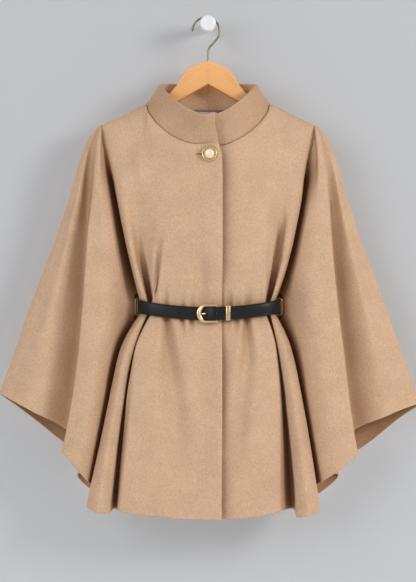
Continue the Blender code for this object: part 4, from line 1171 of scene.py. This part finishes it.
ROWS = cloth_rows()
FRONT_PLACES = column_shares("lap", "slit", FRONT_COLUMNS)
WING_PLACES = column_shares("slit", "vent", WING_COLUMNS)
BACK_PLACES = column_shares("vent", "centre_back", BACK_COLUMNS)
NECK_LINE = LINE_NAMES.index("pleat")
BACK_NECK_LINE = LINE_NAMES.index("back_neck")


def build_half(side):
    """Front, wing and collar of one half; returns the outer points and normals of the half back."""
    lines = np.stack([line_points(line, side, ROWS) for line in LINES], axis=1)
    grids = {
        "front": lapped(panel_grid(lines, FRONT_PLACES, end_cut=seam_cut), side),
        "wing": panel_grid(lines, WING_PLACES, start_cut=slit_cut, end_cut=seam_cut),
        "back": panel_grid(lines, BACK_PLACES, start_cut=seam_cut),
    }
    front = grids["front"]
    back = grids["back"]
    front_neck = sum(i < NECK_LINE for i, _ in FRONT_PLACES) + 1
    back_neck = sum(i >= BACK_NECK_LINE for i, _ in BACK_PLACES)
    front[0, front_neck:, 1] = np.maximum(front[0, front_neck:, 1], SHOULDER_FORE + SEAM_GAP / 2)
    back[0, :-back_neck, 1] = np.minimum(back[0, :-back_neck, 1], SHOULDER_FORE - SEAM_GAP / 2)
    front_collar = collar_grid(front[0, :front_neck], neck_shares(FRONT_PLACES[:front_neck]), False, side)
    back_collar = collar_grid(back[0, -back_neck:], neck_shares(BACK_PLACES[-back_neck:]), True, side)
    grids["collar"] = np.concatenate([front_collar, back_collar[:, 1:]], axis=1)
    grids["collar"][:, -1, 0] = 0.0

    points = {name: scene_grid(grid, side) for name, grid in grids.items()}
    for name in ("front", "collar"):
        points[name] = jogged(points[name], side)
    normals = {name: grid_normals(grid, side) for name, grid in points.items()}
    normals["collar"] = -normals["collar"]
    share_normals(points, normals, front_neck, back_neck)
    heights = {name: relief(grids[name], side, name) for name in ("front", "wing", "back")}
    heights["front"] = heights["front"] + lap_relief(points["front"], side)
    heights["collar"] = lap_relief(points["collar"], side)
    for name, height in heights.items():
        points[name] = points[name] + normals[name] * (height * MM)[..., None]

    word = SIDES[side]
    for name in ("front", "wing"):
        lengths = hem_lengths(points[name])
        if name == "front":
            lengths = np.minimum(lengths, lengths_from(points[name], 1))
        walls = edge_walls(lengths)
        rolls = np.full(walls.shape, EDGE_ROLL)
        rolls[:, -1] = rolls[0] = SEAM_ROLL
        if name == "wing":
            rolls[:, 0] = SEAM_ROLL
        pieces[f"{name}_{word}"] = wall_object(
            f"cloth_{name}_{word}", points[name], normals[name], walls, rolls, "wool", "inner_wool",
            inner_from=YOKE_ROWS)
    rolls = np.full(points["collar"].shape[:2], COLLAR_ROLL)
    thick = np.interp(COLLAR_ROWS, (COLLAR_ROLL_FROM, 1.0), (COLLAR_WALL, COLLAR_EDGE_WALL))
    walls = np.broadcast_to(thick[:, None], rolls.shape)
    pieces[f"collar_{word}"] = wall_object(
        f"cloth_collar_{word}", points["collar"], normals["collar"], walls, rolls, "collar_wool", "neck_wool")
    return points["back"], normals["back"]


def share_normals(points, normals, front_neck, back_neck):
    """Gives pieces one normal along each seam, so that their edges stay parallel."""
    for before, after in (("front", "wing"), ("wing", "back")):
        apart = np.linalg.norm(points[before][:, -1] - points[after][:, 0], axis=1)
        sewn = apart < SEWN_WITHIN * MM
        shared = unit(normals[before][sewn, -1] + normals[after][sewn, 0])
        normals[before][sewn, -1] = shared
        normals[after][sewn, 0] = shared
    for name, columns in (("front", slice(front_neck, None)), ("back", slice(0, -back_neck))):
        normals[name][0, columns] = unit(normals[name][0, columns] * np.array([1.0, 0.0, 1.0]))
    corner = unit(normals["front"][0, front_neck - 1] + normals["back"][0, -back_neck]
                  + normals["collar"][0, front_neck - 1] * 2)
    for name, columns in (("front", slice(0, front_neck)), ("back", slice(-back_neck, None))):
        shared = unit(normals[name][0, columns] + normals["collar"][0, columns])
        shared[-1 if name == "front" else 0] = corner
        normals[name][0, columns] = shared
        normals["collar"][0, columns] = shared
    for name in ("back", "collar"):
        normals[name][:, -1, 0] = 0.0
        normals[name][:, -1] = unit(normals[name][:, -1])


def build_back(halves):
    """Back in one piece from its two halves; returns its points and normals."""
    right, right_normals = halves[WEARER_RIGHT]
    left, left_normals = halves[WEARER_LEFT]
    middle = (right[:, -1:] + left[:, -1:]) / 2
    points = np.concatenate([right[:, :-1], middle, left[:, -2::-1]], axis=1)
    normals = np.concatenate([right_normals, left_normals[:, -2::-1]], axis=1)
    walls = edge_walls(hem_lengths(points))
    rolls = np.full(walls.shape, EDGE_ROLL)
    rolls[:, 0] = rolls[:, -1] = rolls[0] = SEAM_ROLL
    pieces["back"] = wall_object(
        "cloth_back", points, normals, walls, rolls, "wool", "inner_wool", inner_from=YOKE_ROWS)
    return points, normals


# Belt

def smooth_path(table, steps):
    """Points of a smooth curve through a short table of places."""
    points = np.array(table, float)
    knots, tangents = spaced(points)
    path = [span_points(k / steps, i, points, knots, tangents)
            for i in range(len(points) - 1) for k in range(steps)]
    return np.array(path + [points[-1]])


def belt_loop():
    """Closed inner face of the belt in plan, from the centre front to the wearer's left and round."""
    half = smooth_path(BELT_PATH, PATH_STEPS)
    return np.concatenate([half, half[-2::-1] * np.array([-1.0, 1.0])])


LOOP = belt_loop()
LOOP_LENGTHS = path_lengths(LOOP)
LOOP_TOTAL = LOOP_LENGTHS[-1]


def loop_place(length):
    """Place of the belt's inner face in plan at a length round the loop."""
    return np.array([np.interp(length % LOOP_TOTAL, LOOP_LENGTHS, LOOP[:, k]) for k in (0, 1)])


def loop_point(length):
    """Place, outward direction and drop of the belt's inner face at a length round the loop."""
    x, fore = loop_place(length)
    tangent = unit(loop_place(length + 1.0) - loop_place(length - 1.0))
    sag = BELT_SAG * max(0.0, 1 - (x / BELT_HALF_SPAN) ** 2) if fore > SIDE_FORE else 0.0
    return np.array([x, fore]), np.array([-tangent[1], tangent[0]]), BELT_SIDE_DROP + sag


def length_at(x):
    """Length round the loop at which the front of the belt is at x on the wearer's left."""
    front = FRONT_PATH_SPANS * PATH_STEPS
    return np.interp(x, LOOP[:front, 0], LOOP_LENGTHS[:front])


def tail_lift(length):
    """Lift of the free end where it lies over the buckle bar and the strap."""
    rise_start = LOOP_TOTAL - TAIL_RISE_BEFORE
    rise_end = LOOP_TOTAL + TAIL_RISE_AFTER
    return TAIL_LIFT * smooth_step((length - rise_start) / (rise_end - rise_start))


def loft(name, rings, *materials, closed=False, capped=True):
    """Skin through equal rings of points, back to the first if closed, and else with flat ends if capped."""
    count = len(rings[0])
    points = [tuple(point) for ring in rings for point in ring]
    faces = []
    for i in range(len(rings) if closed else len(rings) - 1):
        here = i * count
        following = (i + 1) % len(rings) * count
        for j in range(count):
            k = (j + 1) % count
            faces.append((here + j, here + k, following + k, following + j))
    if capped and not closed:
        faces.append(tuple(range(count)))
        faces.append(tuple(len(points) - count + j for j in reversed(range(count))))
    return add_mesh(name, points, faces, *materials)


def build_strap():
    """One strap from the buckle bar round the waist and back over itself, with creased edges and holes."""
    start = length_at(STRAP_START_X)
    end = LOOP_TOTAL + STRAP_TAIL
    sections = []
    for length in np.linspace(start, end, int((end - start) / STRAP_STEP)):
        place, outwards, drop = loop_point(length)
        near = place + outwards * tail_lift(length)
        narrow = min(1.0, math.sqrt(max(STRAP_LEAST_TIP, (end - length) / STRAP_TIP)))
        section = []
        for across, depth in STRAP_SECTION:
            spot = near + outwards * depth
            section.append((spot[0] * MM, -spot[1] * MM, (-drop + across * narrow) * MM))
        sections.append(section)
    strap = loft("belt_band", sections, "belt_leather", "tan_leather")
    turn_outwards(strap)
    punch_holes(strap)
    for face in strap.data.polygons:
        centre = face.center / MM
        at_side = abs(centre.x) > TAN_FROM_OUT and TAN_FORES[0] < -centre.y < TAN_FORES[1]
        inside = face.normal.y * (1 if -centre.y > SIDE_FORE else -1) > TAN_FACING
        face.material_index = 1 if at_side or inside else 0
    return strap


def punch_holes(strap):
    """Cuts the row of holes out of the strap's front layer."""
    cutter = bmesh.new()
    turn = Vector((0, 0, 1)).rotation_difference(Vector((0, 1, 0))).to_matrix()
    for x in BELT_HOLES:
        place, _, drop = loop_point(x)
        fore = place[1] + tail_lift(x + LOOP_TOTAL) + BELT_WALL
        made = bmesh.ops.create_cone(cutter, cap_ends=True, segments=HOLE_STEPS, radius1=HOLE_RADIUS * MM,
                                     radius2=HOLE_RADIUS * MM, depth=HOLE_DEPTH * MM)
        for vertex in made["verts"]:
            vertex.co = turn @ vertex.co + Vector((x, -fore, -drop)) * MM
    mesh = bpy.data.meshes.new("holes")
    cutter.to_mesh(mesh)
    cutter.free()
    holes = linked("holes", mesh)
    apply_cut(strap, holes)
    bpy.data.objects.remove(holes, do_unlink=True)


def evaluated_mesh(built):
    """New mesh of an object with its modifiers and bevels worked out."""
    return bpy.data.meshes.new_from_object(built.evaluated_get(bpy.context.evaluated_depsgraph_get()))


def apply_cut(built, cutter):
    """Cuts one closed mesh out of another and keeps the result."""
    cut = built.modifiers.new("cut", "BOOLEAN")
    cut.operation = "DIFFERENCE"
    cut.solver = "EXACT"
    cut.object = cutter
    mesh = evaluated_mesh(built)
    built.modifiers.remove(cut)
    built.data = mesh
    mesh.shade_smooth()
    mesh.set_sharp_from_angle(angle=math.radians(CUT_SHARP))


# Small hard pieces

def poly_spline(curve, points, closed):
    """Straight spline of a curve through scene points in millimetres."""
    spline = curve.splines.new("POLY")
    spline.points.add(len(points) - 1)
    for point, place in zip(spline.points, points):
        point.co = (*(Vector(place) * MM), 1.0)
    spline.use_cyclic_u = closed
    return spline


def wire(name, points, radius, material, closed=False, tip=()):
    """Round wire along scene points in millimetres, as a mesh; the tip gives shares of its first radii."""
    curve = bpy.data.curves.new(name, "CURVE")
    curve.dimensions = "3D"
    curve.bevel_depth = radius * MM
    curve.bevel_resolution = WIRE_ROUNDNESS
    curve.use_fill_caps = not closed
    spline = poly_spline(curve, points, closed)
    for point, share in zip(spline.points, tip):
        point.radius = share
    return meshed(name, curve, material, WIRE_SHARP)


def meshed(name, curve, material, sharp, turn=Matrix()):
    """Mesh object from a curve."""
    shape = linked("shape", curve)
    mesh = evaluated_mesh(shape)
    bpy.data.objects.remove(shape, do_unlink=True)
    bpy.data.curves.remove(curve)
    mesh.transform(turn)
    built = add_data(name, mesh, material)
    turn_outwards(built, sharp)
    return built


def turned_object(name, profile, x, drop, material):
    """Piece turned about a line along Y from a profile of (radius, fore)."""
    angles = [2 * math.pi * k / TURN_STEPS for k in range(TURN_STEPS)]
    rings = []
    for radius, fore in profile:
        ring = [(x + radius * math.cos(angle), -fore, -drop + radius * math.sin(angle)) for angle in angles]
        rings.append(np.multiply(ring, MM))
    built = loft(name, rings, material, capped=False)
    with edited(built.data) as shape:
        bmesh.ops.remove_doubles(shape, verts=shape.verts, dist=MERGE_REACH)
        bmesh.ops.dissolve_degenerate(shape, edges=shape.edges, dist=MERGE_REACH / 10)
    turn_outwards(built, TURNED_SHARP)
    return built


def add_bead(shape, angle, fore):
    """Slanted bead on the button's rim."""
    bead = bmesh.ops.create_uvsphere(
        shape, u_segments=BEAD_SEGMENTS, v_segments=BEAD_RINGS, radius=BEAD_RADIUS * MM)
    turn = Matrix.Rotation(BEAD_TURN, 2)
    round_rim = Matrix.Rotation(angle, 2)
    for vertex in bead["verts"]:
        along, across, high = (place * stretch for place, stretch in zip(vertex.co, BEAD_STRETCH))
        place = round_rim @ (turn @ Vector((along, across)) + Vector((BEAD_RING * MM, 0.0)))
        vertex.co = (BUTTON_X * MM + place.x, -fore * MM - high, -BUTTON_DROP * MM + place.y)


def build_button():
    """Gold rim with a ring of slanted beads, and a pearl dome in it."""
    base = BUTTON_BACK_FORE + BUTTON_LIFT
    profile = [(radius, base + rise) for radius, rise in BUTTON_PROFILE]
    rim = turned_object("button_setting", profile, BUTTON_X, BUTTON_DROP, "gold")
    rim.data.materials.append(MATERIALS["button_gold"])
    with edited(rim.data) as shape:
        for k in range(BEADS):
            add_bead(shape, 2 * math.pi * k / BEADS, base + BEAD_SEAT)
        for face in shape.faces:
            face.smooth = True
            middle = face.calc_center_median() / MM
            inside = math.hypot(middle.x - BUTTON_X, middle.z + BUTTON_DROP) < BUTTON_LIP_RADIUS
            face.material_index = 1 if inside else 0
    seat = base + PEARL_SEAT + SEAM_GAP
    dome = [(AXIS_RADIUS, seat), (PEARL_RADIUS - PEARL_EDGE, seat)]
    for angle in np.linspace(0.0, math.pi / 2, DOME_STEPS):
        rise = PEARL_FOOT + PEARL_HEIGHT * math.sin(angle)
        dome.append((max(AXIS_RADIUS, PEARL_RADIUS * math.cos(angle)), seat + rise))
    return rim, turned_object("button_dome", dome, BUTTON_X, BUTTON_DROP, "pearl")


def horseshoe(half_width, half_height):
    """Outline (x, z) of a horseshoe, from the end of its upper arm round its bow to the lower one."""
    arm = np.linspace(BUCKLE_RIGHT_X, BUCKLE_BOW_START_X, BUCKLE_ARM_STEPS, endpoint=False)
    angles = np.linspace(math.pi / 2, 3 * math.pi / 2, BUCKLE_BOW_STEPS)
    bow = [(BUCKLE_BOW_START_X + half_width * math.cos(angle), half_height * math.sin(angle))
           for angle in angles]
    upper = [(x, half_height) for x in arm]
    return np.array(upper + bow + [(x, -half_height) for x in arm[::-1]])


def build_buckle():
    """Horseshoe frame with a groove round its bow, the bar behind the strap and the prong on the bow."""
    wide = BUCKLE_BOW_START_X - BUCKLE_LEFT_X
    rings = []
    for outer, inner in zip(horseshoe(wide, BUCKLE_HALF_HEIGHT),
                            horseshoe(wide - BUCKLE_BOW, BUCKLE_HALF_HEIGHT - BUCKLE_ARM)):
        ring = []
        for share, rise in BUCKLE_SECTION:
            x, z = inner + (outer - inner) * share
            ring.append((x * MM, -(BUCKLE_BACK_FORE + rise) * MM, (z - BUCKLE_DROP) * MM))
        rings.append(ring)
    horseshoe_piece = loft("buckle_horseshoe", rings, "gold")
    turn_outwards(horseshoe_piece, BUCKLE_SHARP)
    reach = BUCKLE_HALF_HEIGHT - BAR_END
    bar = [(BAR_X, -BAR_FORE, -BUCKLE_DROP + end) for end in (reach, -reach)]
    bar_piece = wire("buckle_pin_bar", bar, BAR_RADIUS, "gold")
    prong = [(x, -fore, -BUCKLE_DROP - PRONG_LOWER) for x, fore in smooth_path(PRONG_PATH, PRONG_STEPS)]
    return horseshoe_piece, bar_piece, wire("buckle_tongue", prong, PRONG_RADIUS, "gold", tip=PRONG_TIP)


def build_keeper():
    """Flat loop round both layers of the strap, with rounded corners and bevelled edges."""
    place, outwards, drop = loop_point(length_at(KEEPER_X))
    along = np.array([outwards[1], -outwards[0]])
    low = -KEEPER_CLEAR - KEEPER_WALL
    high = TAIL_LIFT + BELT_WALL + KEEPER_CLEAR + KEEPER_WALL
    half = BELT_WIDTH / 2 + KEEPER_CLEAR + KEEPER_WALL
    rings = []
    for ahead, upward in ((1, 1), (-1, 1), (-1, -1), (1, -1)):
        face = high if ahead > 0 else low
        corner = np.array([face - ahead * KEEPER_ROUND, upward * (half - KEEPER_ROUND)])
        for turn in np.linspace(-math.pi / 4, math.pi / 4, KEEPER_CORNER_STEPS):
            angle = math.atan2(upward, ahead) + turn
            arm = np.array([math.cos(angle), math.sin(angle)])
            ring = []
            for share, sideways in KEEPER_SECTION:
                spot = corner + (KEEPER_ROUND - KEEPER_WALL * (1 - share)) * arm
                plan = place + outwards * spot[0] + along * sideways * KEEPER_WIDTH / 2
                ring.append((plan[0] * MM, -plan[1] * MM, (-drop + spot[1]) * MM))
            rings.append(ring)
    keeper = loft("belt_loop_keeper", rings, "gold", closed=True)
    turn_outwards(keeper, KEEPER_SHARP)
    return keeper


def squared(value, squareness):
    """Sine or cosine bent towards a square."""
    return np.sign(value) * np.abs(value) ** squareness


def build_rings():
    """Oval wire ring at each side slit."""
    rings = {}
    angles = np.linspace(0, 2 * math.pi, RING_STEPS, endpoint=False)
    for ring in RINGS:
        across = ring.side * (ring.out + ring.half_width * squared(np.cos(angles), RING_SQUARENESS))
        up = RING_HALF_HEIGHT * squared(np.sin(angles), RING_SQUARENESS) - BELT_SIDE_DROP
        points = [(x, -ring.fore, z) for x, z in zip(across, up)]
        rings[ring.name] = wire(f"{ring.name}_wire", points, RING_WIRE, "ring_gold", closed=True)
    return rings


def build_hanger():
    """Wood with rounded edges and the wire hook in it."""
    half = np.concatenate([smooth_path(HANGER_TOP, HANGER_STEPS), smooth_path(HANGER_LOW, HANGER_STEPS)])
    outline = [(out, -drop, 0.0) for out, drop in half]
    outline += [(-out, -drop, 0.0) for out, drop in half[-2:0:-1]]
    curve = bpy.data.curves.new("hanger", "CURVE")
    curve.dimensions = "2D"
    curve.fill_mode = "BOTH"
    curve.extrude = (HANGER_DEPTH / 2 - HANGER_EDGE) * MM
    curve.bevel_depth = HANGER_EDGE * MM
    curve.bevel_resolution = WIRE_ROUNDNESS
    curve.offset = -HANGER_EDGE * MM
    poly_spline(curve, outline, closed=True)
    turn = Matrix.Translation((0.0, -SHOULDER_FORE * MM, 0.0)) @ Matrix.Rotation(math.pi / 2, 4, "X")
    wood = meshed("hanger_shaped_wood", curve, "hanger_wood", TURNED_SHARP, turn)
    bend = [(HOOK_OUT + HOOK_RADIUS * math.cos(angle), HOOK_DROP - HOOK_RADIUS * math.sin(angle))
            for angle in np.linspace(*HOOK_ANGLES, HOOK_STEPS)]
    path = [(out, -SHOULDER_FORE, -drop) for out, drop in (*bend, *smooth_path(HOOK_STEM, STEM_STEPS))]
    return wood, wire("hanger_wire_hook", path, HOOK_WIRE, "hook_wire", tip=HOOK_TIP)


def surface_hits(piece, x, drop):
    """Front of a piece at places seen from the front: point and normal of each."""
    shape = bmesh.new()
    shape.from_mesh(piece.data)
    tree = BVHTree.FromBMesh(shape)
    shape.free()
    starts = [Vector((place * MM, RAY_START, -low * MM)) for place, low in zip(x, drop)]
    return [tree.ray_cast(start, Vector((0, 1, 0)))[:2] for start in starts]


def build_buttonhole(front):
    """Worked slit beside the button: a loop of thread laid on the front."""
    angles = np.linspace(0, 2 * math.pi, BUTTONHOLE_STEPS, endpoint=False)
    x = BUTTONHOLE_X + BUTTONHOLE_HALF_LENGTH * squared(np.cos(angles), BUTTONHOLE_SQUARENESS)
    drop = BUTTONHOLE_DROP + BUTTONHOLE_HALF_HEIGHT * np.sin(angles)
    points = [place / MM + normal * THREAD_LIFT for place, normal in surface_hits(front, x, drop)]
    wire("buttonhole_stitch", points, THREAD_RADIUS, "thread", closed=True)


def build_label(points, normals):
    """Bare label made from the middle of the back's points, moved in past its wall."""
    middle = points.shape[1] // 2
    columns = slice(middle - LABEL_COLUMNS, middle + LABEL_COLUMNS + 1)
    rows = [k for k in range(YOKE_ROWS + CHEST_ROWS)
            if LABEL_DROPS[0] < -points[k, middle, 2] / MM < LABEL_DROPS[1]]
    face = points[rows][:, columns]
    inwards = -normals[rows][:, columns]
    outer = face + inwards * (CLOTH_WALL + SEAM_GAP + LABEL_WALL) * MM
    walls, rolls = (np.full(outer.shape[:2], size) for size in (LABEL_WALL, LABEL_ROLL))
    return wall_object("label_plain", outer, inwards, walls, rolls, "label_satin")


# Pieces on the part

pieces = {}
halves = {side: build_half(side) for side in SIDES}
back_points, back_normals = build_back(halves)
pieces["label"] = build_label(back_points, back_normals)
pieces["belt_strap"] = build_strap()
pieces["button_rim"], pieces["button_pearl"] = build_button()
pieces["buckle_frame"], pieces["buckle_bar"], pieces["buckle_prong"] = build_buckle()
pieces["belt_keeper"] = build_keeper()
pieces.update(build_rings())
pieces["hanger_wood"], pieces["hanger_hook"] = build_hanger()
pieces["wall_peg"] = turned_object("peg_turned", PEG_PROFILE, 0.0, 0.0, "peg_white")
for node, piece in pieces.items():
    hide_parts(node)
build_buttonhole(pieces["front_right"])

# Cloth as it was cut: width and length of the piece, and its area
Cut = namedtuple("Cut", "width length area")


# Stage: one-sided wall, floor, lights and camera

def stage_plane(name, size, place, turn, material):
    """Flat plane that isn't part of the object."""
    wide, deep = size[0] / 2, size[1] / 2
    corners = [(-wide, -deep, 0), (wide, -deep, 0), (wide, deep, 0), (-wide, deep, 0)]
    mesh = bpy.data.meshes.new(name)
    mesh.from_pydata(corners, [], [(0, 1, 2, 3)])
    mesh.materials.append(material)
    plane = linked(name, mesh)
    plane.location = place
    plane.rotation_euler = turn
    return plane


def matt_paint(name, colour):
    """Nodes of a plain matt paint."""
    n = Nodes(name)
    n.set(Base_Color=colour, Roughness=0.9, Specular_IOR_Level=0.1)
    return n


def add_glow(n, stops, span):
    """Adds a painted glow that is stronger towards the bottom, and makes the surface clear from behind."""
    n.set(Emission_Strength=1.0)
    parts = n.node("ShaderNodeSeparateXYZ")
    n.link(n.places, parts.inputs[0])
    height = n.node("ShaderNodeMath", {1: 1 / span, 2: 1.0}, operation="MULTIPLY_ADD")
    n.link(parts.outputs["Y"], height.inputs[0])
    n.link(n.ramp(height.outputs[0], stops), n.shader.inputs["Emission Color"])
    mix = n.node("ShaderNodeMixShader")
    n.link(n.node("ShaderNodeNewGeometry").outputs["Backfacing"], mix.inputs["Fac"])
    n.link(n.shader.outputs[0], mix.inputs[1])
    n.link(n.node("ShaderNodeBsdfTransparent").outputs[0], mix.inputs[2])
    n.link(mix.outputs[0], n.tree.nodes["Material Output"].inputs["Surface"])


wall_paint = matt_paint("wall_paint", WALL_GREY)
add_glow(wall_paint, WALL_GLOW, WALL_GLOW_SPAN)
wall = stage_plane("studio_wall", WALL_SIZE, WALL_PLACE, (math.pi / 2, 0.0, 0.0), wall_paint.material)
wall.visible_shadow = wall.visible_diffuse = wall.visible_glossy = False
floor_paint = matt_paint("floor_paint", FLOOR_GREY)
stage_plane("studio_floor", FLOOR_SIZE, FLOOR_PLACE, (0.0, 0.0, 0.0), floor_paint.material)

for lamp in LAMPS:
    light = bpy.data.lights.new(lamp.name, "AREA")
    light.shape = "DISK"
    light.size = lamp.size
    light.energy = lamp.power
    light.color = lamp.colour
    made = linked(lamp.name, light)
    made.location = lamp.place
    made.rotation_euler = (Vector(lamp.aim) - Vector(lamp.place)).to_track_quat("-Z", "Y").to_euler()
    made.visible_glossy = not lamp.name.startswith("back")

world = bpy.data.worlds.new("studio")
bpy.context.scene.world = world
world.use_nodes = True
background = world.node_tree.nodes["Background"]
background.inputs["Color"].default_value = (*WORLD_GREY, 1.0)
background.inputs["Strength"].default_value = WORLD_STRENGTH

camera = bpy.data.cameras.new("photo_camera")
camera.sensor_fit = "VERTICAL"
camera.sensor_height = CAMERA_SENSOR
camera.lens = CAMERA_LENS
view = linked("photo_camera", camera)
view.location = CAMERA_PLACE
view.rotation_euler = (math.pi / 2, 0.0, 0.0)
bpy.context.scene.camera = view
bpy.context.scene.view_settings.view_transform = "Standard"
